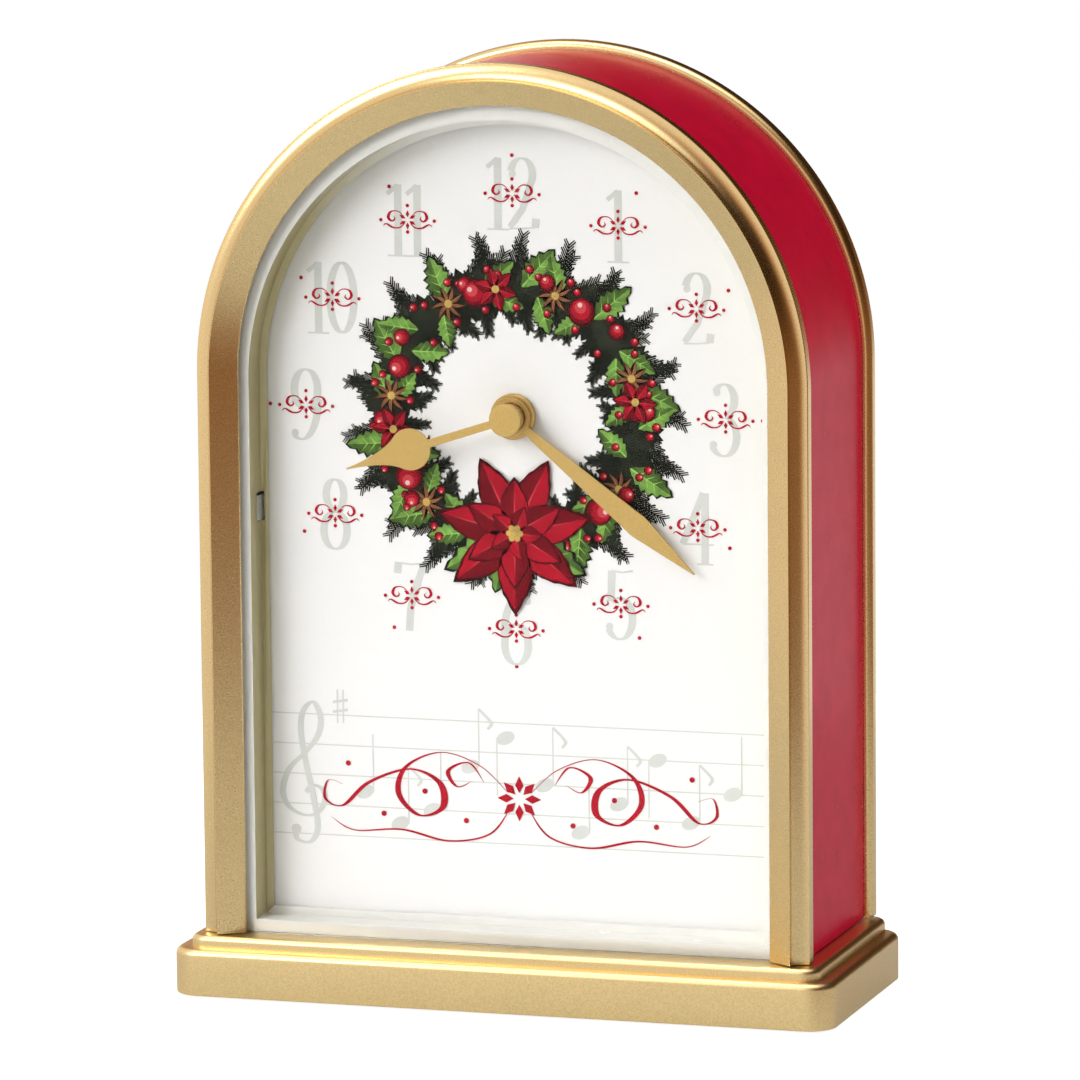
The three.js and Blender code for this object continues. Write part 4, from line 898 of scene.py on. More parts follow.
class CLOCK_OT_bezel(bpy.types.Operator):
    """White bezel between the crystal and the dial"""

    bl_idname = "clock.bezel"
    bl_label = "Bezel"

    WALL = 0.9 * MM
    LIP = 0.3 * MM  # behind the ledge, towards the dial
    PAINT_BACK = 1.2 * MM  # the painted shade starts this far behind the flange
    PAINT_UP = 4 * MM  # and this far above the opening's lower edge

    def execute(self, context):
        size = sizes()
        front = BEZEL_LOW.y
        opening_bottom = BEZEL_LOW.z + size.bezel_rail
        flange = BEZEL_HIGH.x - size.opening_radius
        piece = start_piece("white_bezel")
        bottom = FOOT + 0.1 * MM  # a hair above the base
        arch_face(BEZEL_HIGH.x, bottom, front)
        bpy.ops.mesh.inset(thickness=flange, depth=0)
        self.shape_opening(piece, bottom + flange, opening_bottom)
        extrude((0, size.bezel_depth, 0))
        bpy.ops.mesh.inset(thickness=size.ledge_width, depth=0)
        extrude((0, self.LIP, 0))
        bpy.ops.mesh.delete(type="FACE")
        bpy.ops.mesh.select_all(action="SELECT")
        bpy.ops.mesh.remove_doubles(threshold=CLOSE)
        bpy.ops.object.mode_set(mode="OBJECT")
        self.face_front(piece)
        apply_modifier(piece, "SOLIDIFY", thickness=self.WALL, offset=-1, use_even_offset=True)
        self.cut_clip_windows(piece)
        soften(piece, 0.22 * MM, 2, 40)
        place(piece, "case", bezel_white(), "bezel_white", "dial_bezel")

        # The inner walls get a painted shade with a painted gold reflection
        def inner_wall(centre, normal):
            return centre.y > front + self.PAINT_BACK and centre.z > opening_bottom + self.PAINT_UP

        paint_faces(piece, champagne(), inner_wall)
        return {"FINISHED"}

    def shape_opening(self, piece, height, wanted):
        """Moves the opening's lower edge down to the rail and its round top down by the drop."""
        bpy.ops.object.mode_set(mode="OBJECT")
        for vertex in piece.data.vertices:
            if vertex.select and abs(vertex.co.z - height) < 0.5 * MM:
                vertex.co.z = wanted
            elif vertex.select:
                vertex.co.z -= sizes().opening_drop
        bpy.ops.object.mode_set(mode="EDIT")

    def cut_clip_windows(self, piece):
        size = sizes()
        for side, node in ((-1, "dial_clip_left"), (1, "dial_clip_right")):
            low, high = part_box(node)
            inner, outer = size.opening_radius - size.clip_slot, size.opening_radius + 3 * MM
            x0, x1 = sorted((side * inner, side * outer))
            cut_box(
                piece, Vector((x0, low.y - size.clip_play, low.z - size.clip_play)),
                Vector((x1, BEZEL_HIGH.y, high.z + size.clip_room)))

    def face_front(self, piece):
        """The flange looks towards the front."""
        flange = max(piece.data.polygons, key=lambda face: abs(face.normal.y) * face.area)
        if flange.normal.y > 0:
            bpy.ops.object.mode_set(mode="EDIT")
            bpy.ops.mesh.select_all(action="SELECT")
            bpy.ops.mesh.flip_normals()
            bpy.ops.object.mode_set(mode="OBJECT")


def ring(cx, cz, rx, rz):
    """An ellipse as two half strokes."""
    return [arc(cx, cz, rx, rz, 90, 270, 14), arc(cx, cz, rx, rz, 270, 450, 14)]


# Pen paths and round ends of the digits, as shares of the numeral's height
DIGITS = {
    "0": ring(0.23, 0.5, 0.17, 0.47),
    "1": [[(0.23, 0.97), (0.23, 0.5), (0.23, 0.02)], [(0.08, 0.84), (0.23, 0.96)],
          [(0.08, 0.015), (0.38, 0.015)]],
    "2": [arc(0.23, 0.76, 0.15, 0.21, 170, -25) + [(0.24, 0.30), (0.06, 0.05)],
          [(0.05, 0.03), (0.24, 0.035), (0.41, 0.05)], [(0.41, 0.05), (0.425, 0.17)]],
    "3": [arc(0.21, 0.76, 0.14, 0.21, 150, -85), arc(0.20, 0.27, 0.18, 0.26, 85, -150)],
    "4": [[(0.31, 0.97), (0.02, 0.28)], [(0.02, 0.28), (0.45, 0.28)],
          [(0.33, 0.97), (0.33, 0.5), (0.33, 0.02)], [(0.22, 0.015), (0.44, 0.015)]],
    "5": [[(0.10, 0.95), (0.26, 0.935), (0.40, 0.96)], [(0.105, 0.95), (0.095, 0.54)],
          arc(0.21, 0.31, 0.18, 0.28, 128, -150)],
    "6": [arc(0.30, 0.42, 0.24, 0.55, 62, 180, 12), *ring(0.23, 0.29, 0.165, 0.27)],
    "7": [[(0.04, 0.94), (0.24, 0.925), (0.42, 0.95)], [(0.045, 0.95), (0.03, 0.80)],
          [(0.41, 0.94), (0.28, 0.60), (0.21, 0.32), (0.19, 0.02)]],
    "8": [*ring(0.23, 0.76, 0.125, 0.205), *ring(0.23, 0.275, 0.165, 0.255)],
    "9": [arc(0.16, 0.58, 0.24, 0.55, 242, 360, 12), *ring(0.23, 0.71, 0.165, 0.27)],
}
BALLS = {
    "2": [(0.10, 0.76)], "3": [(0.11, 0.86), (0.06, 0.16)], "5": [(0.07, 0.20)],
    "6": [(0.39, 0.88)], "9": [(0.07, 0.12)],
}
DIGIT_BOX = 0.46  # width of the box that each digit is drawn in
DIGIT_WIDTH = 0.40
NARROW_DIGIT = 0.27  # of the one
PEN_THIN, PEN_THICK = 0.022, 0.105
BALL = 0.05


def print_level(layer):
    """Depth of a printed layer, each a little in front of the one under it."""
    return DIAL_FACE - PRINT_LIFT * layer


def clock_point(hour, radius, height):
    """Where an hour's mark stands on a ring with its centre at the height."""
    angle = math.radians(30 * hour)
    return radius * math.sin(angle), height + radius * math.cos(angle)


class CLOCK_OT_numerals(bpy.types.Operator):
    """Grey hour numerals and red dots"""

    bl_idname = "clock.numerals"
    bl_label = "Numerals and Dots"

    def draw_digit(self, digit, x, z, height, y):
        for i, path in enumerate(DIGITS[digit]):
            run = [(x + px * height, z + pz * height) for px, pz in path]
            pen_stroke(run, y - i * PEN_STEP, PEN_THIN * height, PEN_THICK * height)
        for bx, bz in BALLS.get(digit, []):
            dot(x + bx * height, z + bz * height, y - PRINT_LIFT, BALL * height, 14)

    def execute(self, context):
        size = sizes()
        height = size.numeral_height
        piece = start_piece("hour_numerals")
        for hour in range(1, 13):
            text = str(hour)
            widths = [height * (NARROW_DIGIT if digit == "1" else DIGIT_WIDTH) for digit in text]
            x, z = clock_point(hour, size.numeral_radius, size.dots_centre)
            left = x - sum(widths) / 2
            for digit, width in zip(text, widths):
                side = 0.5 * (width - DIGIT_BOX * height)
                self.draw_digit(digit, left + side, z - height / 2, height, print_level(1))
                left += width
        finish_piece(piece)
        place(piece, "case", grey_ink(), "dial_card")
        dots = start_piece("hour_dots")
        for hour in range(1, 13):
            x, z = clock_point(hour, size.dots_radius, size.dots_centre)
            dot(x, z, print_level(1), 0.65 * MM, 14)
        finish_piece(dots)
        place(dots, "case", red_ink(), "dial_card")
        return {"FINISHED"}


class CLOCK_OT_ornaments(bpy.types.Operator):
    """Small red scrolls over the numerals and the large flourish under the garland"""

    bl_idname = "clock.ornaments"
    bl_label = "Red Ornaments"

    SCROLL = [(0.6, 0.3), (3.0, 2.6), (5.6, 2.5), (6.5, 0.7), (5.4, -0.5), (4.3, 0.2), (4.7, 1.2)]
    TENDRIL = [(0.5, -0.5), (2.4, -2.4), (4.8, -2.6), (7.2, -1.4), (8.2, -2.2)]
    PETAL = [(0, 1.0), (0.75, 2.3), (0, 3.9), (-0.75, 2.3)]
    SWEEP = [
        (4, 2), (13, 10), (26, 14), (38, 9), (41, 0), (34, -7), (26, -4), (27, 4), (37, 8),
        (51, 3), (60, -5), (66, -3), (65, 3), (60, 2)]
    UNDERLINE = [(3, -3), (10, -12), (24, -15), (40, -12), (56, -13), (64, -9)]
    SPRAY = [(12, 5), (17, 11), (24, 8), (21, 3), (16, 5)]

    def mirrored(self, path, scale):
        """The path on the right and its mirror image on the left, in metres."""
        return [[(side * x * scale, z * scale) for x, z in path] for side in (1, -1)]

    def petals(self, scale, y, count):
        for i in range(count):
            print_face(turned(self.PETAL, 2 * math.pi * i / count), y, scale)

    def small_scroll(self):
        piece = start_piece("small_scroll")
        y = print_level(3)
        for path in (self.SCROLL, self.TENDRIL):
            for run in self.mirrored(path, MM):
                pen_stroke(spline(run, 5), y, 0.5 * MM, 1.0 * MM, taper=True)
        self.petals(0.8 * MM, y - PRINT_LIFT, 6)
        for x, z in ((0, 4.6), (0, -3.9), (9, -0.2), (-9, -0.2)):
            dot(x * MM, z * MM, y - PRINT_LIFT, 0.6 * MM, 10)
        return finish_piece(piece)

    def flourish(self):
        piece = start_piece("large_flourish")
        y = print_level(4)
        strokes = ((self.SWEEP, 0.6, 2.4), (self.UNDERLINE, 0.6, 1.8), (self.SPRAY, 0.5, 1.5))
        for path, thin, thick in strokes:
            for run in self.mirrored(path, MM):
                pen_stroke(spline(run, 9), y, thin * MM, thick * MM, taper=True)
        self.petals(1.9 * MM, y - PRINT_LIFT, 8)
        for x, z in ((32, 1), (58, 9), (46, -7), (18, -8)):
            for side in (1, -1):
                dot(side * x * MM, z * MM, y - PRINT_LIFT, 0.9 * MM, 14)
        return finish_piece(piece)

    def execute(self, context):
        size = sizes()
        first = self.small_scroll()
        copies = []
        for hour in range(1, 13):
            x, z = clock_point(hour, size.numeral_radius, size.dots_centre)
            copies.append(move_piece(copy_piece(first, f"scroll_{hour}"), (x, 0, z)))
        bpy.data.objects.remove(first)
        scrolls = join_pieces("red_scrolls", copies)
        place(scrolls, "case", red_ink(), "dial_card")
        flourish = move_piece(self.flourish(), (0.5 * MM, 0, 66 * MM))
        place(flourish, "case", red_ink(), "dial_card")
        return {"FINISHED"}


class CLOCK_OT_staff(bpy.types.Operator):
    """Grey music staff with a clef and notes"""

    bl_idname = "clock.staff"
    bl_label = "Music Staff"

    CLEF = [
        (17, 36), (22, 41), (29, 38), (30, 30), (24, 22), (14, 21), (4, 27), (1, 38), (6, 52),
        (17, 63), (26, 75), (28, 87), (23, 97), (16, 91), (14, 78), (17, 58), (22, 34), (25, 13),
        (20, 3), (11, 4), (9, 11)]
    TAIL = [(0.0, 1.0), (0.30, 0.72), (0.42, 0.55), (0.30, 0.38)]

    def note_head(self, x, z, y, width):
        """A filled oval, tilted upward to the right."""
        oval = turned(arc(0, 0, width / 2, width * 0.33, 0, 342, 19), math.radians(-24))
        print_face([(x + px, z + pz) for px, pz in oval], y)

    def note(self, x, z, y, width, stem, tailed):
        self.note_head(x, z, y, width)
        side = math.copysign(width * 0.46, stem)
        pen_stroke([(x + side, z), (x + side, z + stem)], y, 0.45 * MM, 0.45 * MM)
        if tailed:
            length = stem * 0.55
            run = [(x + side + px * width * 1.6, z + stem - (1 - pz) * length) for px, pz in self.TAIL]
            pen_stroke(spline(run, 5), y, 0.5 * MM, 1.2 * MM)

    def execute(self, context):
        size = sizes()
        spacing, bottom = size.staff_spacing, size.staff_bottom
        lines = start_piece("staff_lines")
        reach = size.opening_radius - size.ledge_width
        for line in range(5):
            z = bottom + line * spacing
            pen_stroke([(-reach, z), (reach, z)], print_level(1), 0.38 * MM, 0.38 * MM)
        finish_piece(lines)
        place(lines, "case", grey_ink(), "dial_card")
        signs = start_piece("staff_signs")
        y = print_level(2)
        scale = 0.49 * MM
        run = [(-80.5 * MM + x * scale, 47 * MM + z * scale) for x, z in self.CLEF]
        pen_stroke(spline(run, 6), y, 0.8 * MM, 2.1 * MM)
        dot(-80.5 * MM + 10 * scale, 47 * MM + 11 * scale, y, 1.7 * MM)
        places = [
            (-52, 1.5, 1, False), (-40, 0.5, 1, True), (-29, 1.0, 1, False), (-16, 2.5, 1, True),
            (-4, 3.5, -1, False), (9, 2.0, 1, True), (21, 0.5, 1, False), (34, 1.5, 1, True),
            (47, 3.0, -1, False), (58, 1.0, 1, True), (72, 2.0, 1, False)]
        for x, step, way, tailed in places:
            self.note(x * MM, bottom + step * spacing, y, 6.4 * MM, way * 19 * MM, tailed)
        for x in (-61, -59):
            pen_stroke([(x * MM, 88 * MM), (x * MM, 99 * MM)], y, 0.4 * MM, 0.5 * MM)
        for z in (91.6, 94.8):
            bar = [(-62.6 * MM, z * MM), (-57.4 * MM, (z + 0.9) * MM)]
            pen_stroke(bar, y - PRINT_LIFT, 0.9 * MM, 0.9 * MM)
        finish_piece(signs)
        place(signs, "case", grey_ink(), "dial_card")
        return {"FINISHED"}


LEAF_TEETH = 0.30  # depth of the notches, as a share of the leaf's width


class CLOCK_OT_garland(bpy.types.Operator):
    """Printed ring garland: dark fir, toothed leaves, rosettes, baubles, berries and blooms"""

    bl_idname = "clock.garland"
    bl_label = "Garland"

    def motif(self, name, layer, shapes, material):
        """Flat shapes about the origin, pointing up, in millimetres."""
        piece = start_piece(name)
        for shape in shapes:
            print_face(shape, print_level(layer), MM)
        finish_piece(piece)
        piece.data.materials.clear()
        piece.data.materials.append(material)
        return piece

    def tuft(self, layer):
        """A ragged patch of the dark ring behind the sprigs."""
        rim = []
        for i in range(22):
            turn = 2 * math.pi * i / 22
            reach = 1.0 if i % 2 else 0.78
            rim.append((6.5 * reach * math.sin(turn), 9.5 * reach * math.cos(turn)))
        return self.motif("tuft", layer, [rim], fir_ink())

    def sprig(self, name, layer, length, needle, material):
        """A stem with needles that lean forward on both sides."""
        shapes = [[(-0.35, 0), (0.35, 0), (0.15, length), (-0.15, length)]]
        count = 14
        for i in range(count):
            z = length * (0.04 + 0.94 * i / (count - 1))
            reach = needle * (1.0 - 0.5 * i / (count - 1)) * (1.0 if i % 3 else 1.25)
            for side in (1, -1):
                shapes.append([
                    (side * 0.15, z - 0.42), (side * reach * 0.74, z + reach * 0.80),
                    (side * reach * 0.66, z + reach * 0.93), (side * 0.15, z + 0.42)])
        return self.motif(name, layer, shapes, material)

    def leaf_half(self, side, length, width, teeth=0.0):
        """Half of a pointed leaf; teeth says how deep its edge is notched."""
        rim = []
        for i in range(1, 12):
            share = i / 12
            reach = width * math.sin(math.pi * share) ** 0.8 * (1 - 0.25 * share)
            notch = 1 - teeth if i % 2 == 0 else 1
            rim.append((side * reach * notch, length * (share + 0.03 * (i % 2))))
        return [(0, 0), *rim, (0, length * 1.04)]

    def leaf(self, name, layer, length, width):
        """A leaf with a dark edge, a light and a shaded half and a pale rib."""
        edge = [self.leaf_half(side, length * 1.05, width * 1.16, LEAF_TEETH) for side in (1, -1)]
        light, shade = [self.leaf_half(side, length, width, LEAF_TEETH) for side in (1, -1)]
        rib = [(-0.28, 0.4), (0.28, 0.4), (0, length * 0.92)]
        parts = [
            self.motif(name, layer, edge, fir_ink()),
            self.motif(name + "_light", layer + 1, [light], leaf_ink()),
            self.motif(name + "_shade", layer + 1, [shade], leaf_shade_ink()),
            self.motif(name + "_rib", layer + 2, [rib], leaf_light_ink())]
        for side in (1, -1):
            veins = [
                [(0, length * at), (side * width * 0.55, length * (at + 0.17)), (0, length * (at + 0.035))]
                for at in (0.22, 0.40, 0.58)]
            parts.append(self.motif(name + "_vein", layer + 2, veins, leaf_light_ink()))
        return join_pieces(name, parts)

    def bloom(self, name, layer, radius, petals, inks, offset=0):
        """Pointed petals round a centre: a dark edge, two tones of petal and a pale rib."""
        edge_ink, light_ink, shade_ink, rib_ink = inks
        groups = {edge_ink: [], light_ink: [], shade_ink: [], rib_ink: []}
        width = radius * 1.05 / petals * 1.75
        for i in range(petals):
            turn = 2 * math.pi * (i + offset) / petals
            for ink, side, grow in (
                    (edge_ink, 1, 1.07), (edge_ink, -1, 1.07), (light_ink, 1, 1), (shade_ink, -1, 1)):
                half = self.leaf_half(side, radius * grow, width * grow)
                groups[ink].append(turned(half, turn))
            rib = [(-0.018 * radius, radius * 0.2), (0.018 * radius, radius * 0.2), (0, radius * 0.9)]
            groups[rib_ink].append(turned(rib, turn))
        parts = []
        for step, (ink, shapes) in enumerate(groups.items()):
            level = layer + (0, 1, 1, 2)[step] * 0.5
            parts.append(self.motif(f"{name}_{step}", level, shapes, ink))
        return join_pieces(name, parts)

    def disc(self, name, layer, radius, material, x=0, z=0, sides=20):
        return self.motif(name, layer, [round_shape(x, z, radius, sides)], material)

    def bauble(self, name, layer, radius, sides=24):
        """A glossy ball in five tones, lit from the upper left."""
        tones = (
            (1.00, 0.00, berry_edge_ink()), (0.88, 0.05, berry_dark_ink()), (0.70, 0.13, berry_ink()),
            (0.42, 0.24, berry_light_ink()), (0.17, 0.36, glint_ink()))
        parts = []
        for step, (share, aside, ink) in enumerate(tones):
            away = radius * aside
            parts.append(self.disc(
                f"{name}_{step}", layer + step * 0.5, radius * share, ink, -away, away, sides))
        return join_pieces(name, parts)

    def spread(self, first, count, radius, start, turns=(0,), scales=(1,)):
        """Copies round the ring, each a little above the last; turns add to the outward direction."""
        made = []
        height = sizes().garland_height
        for i in range(count):
            angle = math.radians(start + 360 * i / count)
            x = radius * MM * math.sin(angle)
            z = height + radius * MM * math.cos(angle)
            turn = angle + math.radians(turns[i % len(turns)])
            rise = (i % COPY_STEPS) * COPY_RISE
            copy = copy_piece(first, f"{first.name}_{i}")
            made.append(move_piece(copy, (x, -rise, z), turn, scales[i % len(scales)]))
        bpy.data.objects.remove(first)
        return made

    def execute(self, context):
        middle = sizes().garland_radius / MM
        red = (berry_edge_ink(), berry_ink(), berry_dark_ink(), berry_light_ink())
        brown = (husk_dark_ink(), husk_ink(), husk_dark_ink(), seed_ink())
        fir = [
            *self.spread(self.tuft(1), 34, middle, 0, (0, 24, -18), (1, 0.88, 1.06)),
            *self.spread(self.sprig("fir_out", 2, 15, 4.2, fir_ink()), 52, middle + 3, 0,
                         (14, -22, 34, -8, 48), (1, 0.82, 0.92)),
            *self.spread(self.sprig("fir_along", 3, 15, 4.4, fir_light_ink()), 40, middle - 1, 5,
                         (72, 96, 38), (1, 0.9)),
            *self.spread(self.sprig("fir_in", 4, 11, 3.6, fir_ink()), 40, middle - 3, 3,
                         (158, 214, 186), (1, 0.82)),
        ]
        green = [
            *self.spread(self.leaf("leaf_out", 6, 15.5, 5.0), 20, middle + 0.5, 4,
                         (38, -34, 10, 62), (1, 0.86)),
            *self.spread(self.leaf("leaf_in", 9, 12, 4.2), 15, middle - 1.5, 12,
                         (150, 205, 120), (1, 0.86)),
        ]
        berries = [
            *self.spread(self.bloom("rosette", 12, 5.4, 9, brown), 7, middle + 0.5, 20, (5, 22)),
            *self.spread(self.disc("rosette_heart", 14, 1.3, seed_ink(), sides=12), 7, middle + 0.5, 20),
            *self.spread(self.bauble("berry", 12, 1.5, 12), 21, middle + 6.5, 7),
            *self.spread(self.bauble("berry_pair", 12.1, 1.4, 12), 21, middle + 4.6, 11),
            *self.spread(self.bauble("berry_low", 12, 1.4, 12), 21, middle - 6, 2),
            *self.spread(self.bauble("bauble", 15, 4.6), 7, middle, 34, scales=(1, 0.85)),
            *self.spread(self.bauble("small_bauble", 15, 2.8, 18), 10, middle + 3.5, 15),
            *self.spread(self.bloom("small_bloom", 18, 6.8, 6, red), 4, middle, 262, (12, -8)),
        ]
        seeds = self.spread(self.disc("seed", 20, 1.3, seed_ink(), sides=12), 4, middle, 262)
        place_many("garland_fir", fir, "case")
        place_many("garland_leaves", green, "case")
        place_many("garland_berries", berries, "case")
        self.large_bloom(middle, seeds, red)
        return {"FINISHED"}

    def large_bloom(self, middle, seeds, red):
        low = (0, 0, sizes().garland_height - (middle - 3) * MM)
        parts = [
            self.leaf("bloom_leaf", 18, 25, 6.6), self.leaf("bloom_leaf_2", 18, 25, 6.6),
            self.bloom("outer_petals", 21, 24, 7, red, 0.5),
            self.bloom("inner_petals", 23, 16.5, 6, red, 0.0),
            self.bloom("heart_petals", 25, 8.5, 5, red, 0.3)]
        for leaf, turn in zip(parts[:2], (118, -118)):
            move_piece(leaf, (0, 0, 0), math.radians(turn))
        for x, z in [(0, 0), *arc(0, 0, 1.9, 1.9, 0, 300, 5)]:
            parts.append(self.disc("heart_seed", 27, 1.0, seed_ink(), x, z, 12))
        for part in parts:
            move_piece(part, low)
        place_many("garland_bloom", [*parts, *seeds], "case")


# Hands and hub


def bore_for(node):
    """Radius of a hole that just clears a shaft."""
    low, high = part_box(node)
    return (high.x - low.x) / 2 + GAP


class CLOCK_OT_hands(bpy.types.Operator):
    """Minute and hour hands"""

    bl_idname = "clock.hands"
    bl_label = "Hands"

    def blade(self, name, right_side, front):
        """A stamped blade from its right side's (x, z) points, drawn upright from the shaft."""
        outline = right_side + [(-x, z) for x, z in reversed(right_side)]
        piece = start_piece(name)
        print_face(outline, front)
        extrude((0, sizes().hand_thick, 0))
        return finish_piece(piece)

    def minute_side(self, start):
        size = sizes()
        root, wide, shoulder = size.hand_root / 2, size.minute_width / 2, size.minute_shoulder
        return [
            (root, start), (wide * 0.93, shoulder - 4 * MM), (wide, shoulder - 0.5 * MM),
            (wide * 0.93, shoulder + 2 * MM), (0.2 * MM, size.minute_length)]

    def hour_side(self, start):
        """An arm, most of a disc, and a hollow curve to the tip."""
        size = sizes()
        half, radius, centre = size.hand_root / 2, size.hour_disc, size.hour_disc_centre
        disc = arc(0, centre, radius, radius, -math.degrees(math.acos(half / radius)), 38, 18)
        first, tip = Vector(disc[-1]), Vector((0.2 * MM, size.hour_length))
        bend = Vector((radius * 0.22, centre + radius * 1.25))
        point = []
        for i in range(1, 10):
            t = i / 9
            point.append(tuple(first * (1 - t) ** 2 + bend * 2 * t * (1 - t) + tip * t ** 2))
        return [(half, start), *disc, *point]

    def mount(self, name, parts, body, node, angle):
        hand = move_piece(join_pieces(name, parts), (0, 0, SHAFT), angle)
        soften(hand, 0.13 * MM, 2, 50)
        place(hand, body, hand_brass(), "brass", node)

    def execute(self, context):
        size = sizes()
        low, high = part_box("minute_hand")
        front = (low.y + high.y - size.hand_thick) / 2
        ring = size.minute_ring
        self.mount("minute_blade", [
            self.blade("minute_blade", self.minute_side(ring - 1.5 * MM), front),
            ring_piece("minute_ring", ring, bore_for("minute_pipe"), low.y, high.y),
        ], "minute_works", "minute_hand", size.minute_angle)
        low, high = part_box("hour_hand")
        back = low.y + size.hand_thick
        ring = CAP_HIGH.x
        bore = bore_for("hour_arbor")
        self.mount("hour_blade", [
            self.blade("hour_blade", self.hour_side(ring - 1.5 * MM), low.y),
            ring_piece("hour_ring", ring, bore, low.y, back),
            ring_piece("hour_boss", size.hour_boss, bore, back - 0.1 * MM, high.y),
        ], "hour_works", "hour_hand", size.hour_angle)
        return {"FINISHED"}


class CLOCK_OT_hub(bpy.types.Operator):
    """Crowned cap over the hands and the round nut on the dial"""

    bl_idname = "clock.hub"
    bl_label = "Hub Cap and Nut"

    def execute(self, context):
        radius, front, back = CAP_HIGH.x, CAP_LOW.y, CAP_HIGH.y
        soft, crown = 0.3 * MM, 0.12 * MM
        rim = arc(radius - soft, front + crown + soft, soft, soft, 0, -90, 5)
        section = [
            (0, back), (radius - 0.15 * MM, back), (radius, back - 0.15 * MM), *rim,
            (radius * 0.6, front + crown * 0.36), (0, front)]
        cap = turn_piece("cap", section, (0, SHAFT), 72)
        place(cap, "hour_works", hand_brass(), "brass", "hub_cap")
        low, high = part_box("dial_nut")
        nut = ring_piece("round_nut", high.x, bore_for("threaded_bush"), low.y, high.y, 0.35 * MM)
        move_piece(nut, (0, 0, SHAFT))
        place(nut, "case", hand_brass(), "brass", "dial_nut")
        return {"FINISHED"}


# Works behind the dial and the rear fittings


class CLOCK_OT_controls(bpy.types.Operator):
    """Fluted knobs, the night switch and the melody button"""

    bl_idname = "clock.controls"
    bl_label = "Controls"

    FLUTES = 12
    RIM = 0.08  # width of a knob's rim and depth of its dish, as shares of its radius

    def knob(self, name, node, front):
        """A knob with a fluted rim and a dished end that looks backward."""
        low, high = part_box(node)
        middle, radius = (low + high) / 2, (high.x - low.x) / 2
        steps = 8 * self.FLUTES
        flute = radius / 9
        rim = []
        for i in range(steps):
            turn = 2 * math.pi * i / steps
            reach = radius - flute / 2 * (1 - math.cos(self.FLUTES * turn))
            rim.append((middle.x + reach * math.cos(turn), front, middle.z + reach * math.sin(turn)))
        piece = start_piece(name)
        draw_face(rim)
        extrude((0, high.y - front, 0))
        bpy.ops.mesh.inset(thickness=radius * self.RIM, depth=0)
        extrude((0, -radius * self.RIM, 0))
        finish_piece(piece, 30)
        soften(piece, radius * 0.045, 3, 40)
        return piece, middle, high.y

    def execute(self, context):
        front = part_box("movement_cover")[1].y + GAP
        setting, _, _ = self.knob("setting_grip", "setting_knob", front)
        place(setting, "setting_works", moulded_black(), "black_plastic", "setting_knob")
        volume, middle, back = self.knob("volume_grip", "volume_knob", front)
        line = Vector((0.6 * MM, 0, 0))
        floor = back - 1.4 * MM
        cut_box(
            volume, Vector((middle.x, floor, middle.z)) - line,
            Vector((middle.x, back + MM, middle.z + 8 * MM)) + line)
        place(volume, "volume_control", moulded_black(), "black_plastic", "volume_knob")
        paint_faces(volume, white_paint(), lambda centre, normal: abs(centre.y - floor) < 0.02 * MM)
        door_knob, _, _ = self.knob("door_grip", "door_knob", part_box("door_knob")[0].y)
        place(door_knob, "door", moulded_black(), "black_plastic", "door_knob")
        self.switch(front)
        self.button()
        return {"FINISHED"}

    def switch(self, front):
        """A ribbed slide on its stem."""
        low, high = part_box("night_switch")
        stem = Vector((2 * MM, 0, 2 * MM))
        piece = box_piece("switch_slide", Vector((low.x, front, low.z)), high)
        for step in (-2, -1, 0, 1, 2):
            middle = (low.x + high.x) / 2 + step * 1.2 * MM
            cut_box(
                piece, Vector((middle - 0.3 * MM, high.y - 0.6 * MM, low.z - MM)),
                Vector((middle + 0.3 * MM, high.y + MM, high.z + MM)))
        soften(piece, 0.15 * MM, 2, 50)
        leg = box_piece("switch_leg", low + stem, Vector((high.x, front + 0.1 * MM, high.z)) - stem)
        slide = join_pieces("switch_slide", [piece, leg])
        place(slide, "night_slider", moulded_black(), "black_plastic", "night_switch")

    def button(self):
        """A round button with a dished face and the collar that keeps it in."""
        low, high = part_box("melody_button")
        middle, collar = (low + high) / 2, (high.x - low.x) / 2
        radius = collar - 1.2 * MM
        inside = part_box("movement_cover")[0].y - GAP
        section = [
            (0, low.y), (radius, low.y), (radius, inside - MM), (collar, inside - MM),
            (collar, inside), (radius, inside), (radius, high.y - 0.4 * MM),
            (radius - 0.12 * MM, high.y - 0.12 * MM), (radius - 0.4 * MM, high.y),
            (radius * 0.5, high.y - 0.25 * MM), (0, high.y - 0.32 * MM)]
        piece = turn_piece("button_cap", section, (middle.x, middle.z), 48)
        place(piece, "melody_key", melody_red(), "black_plastic", "melody_button")


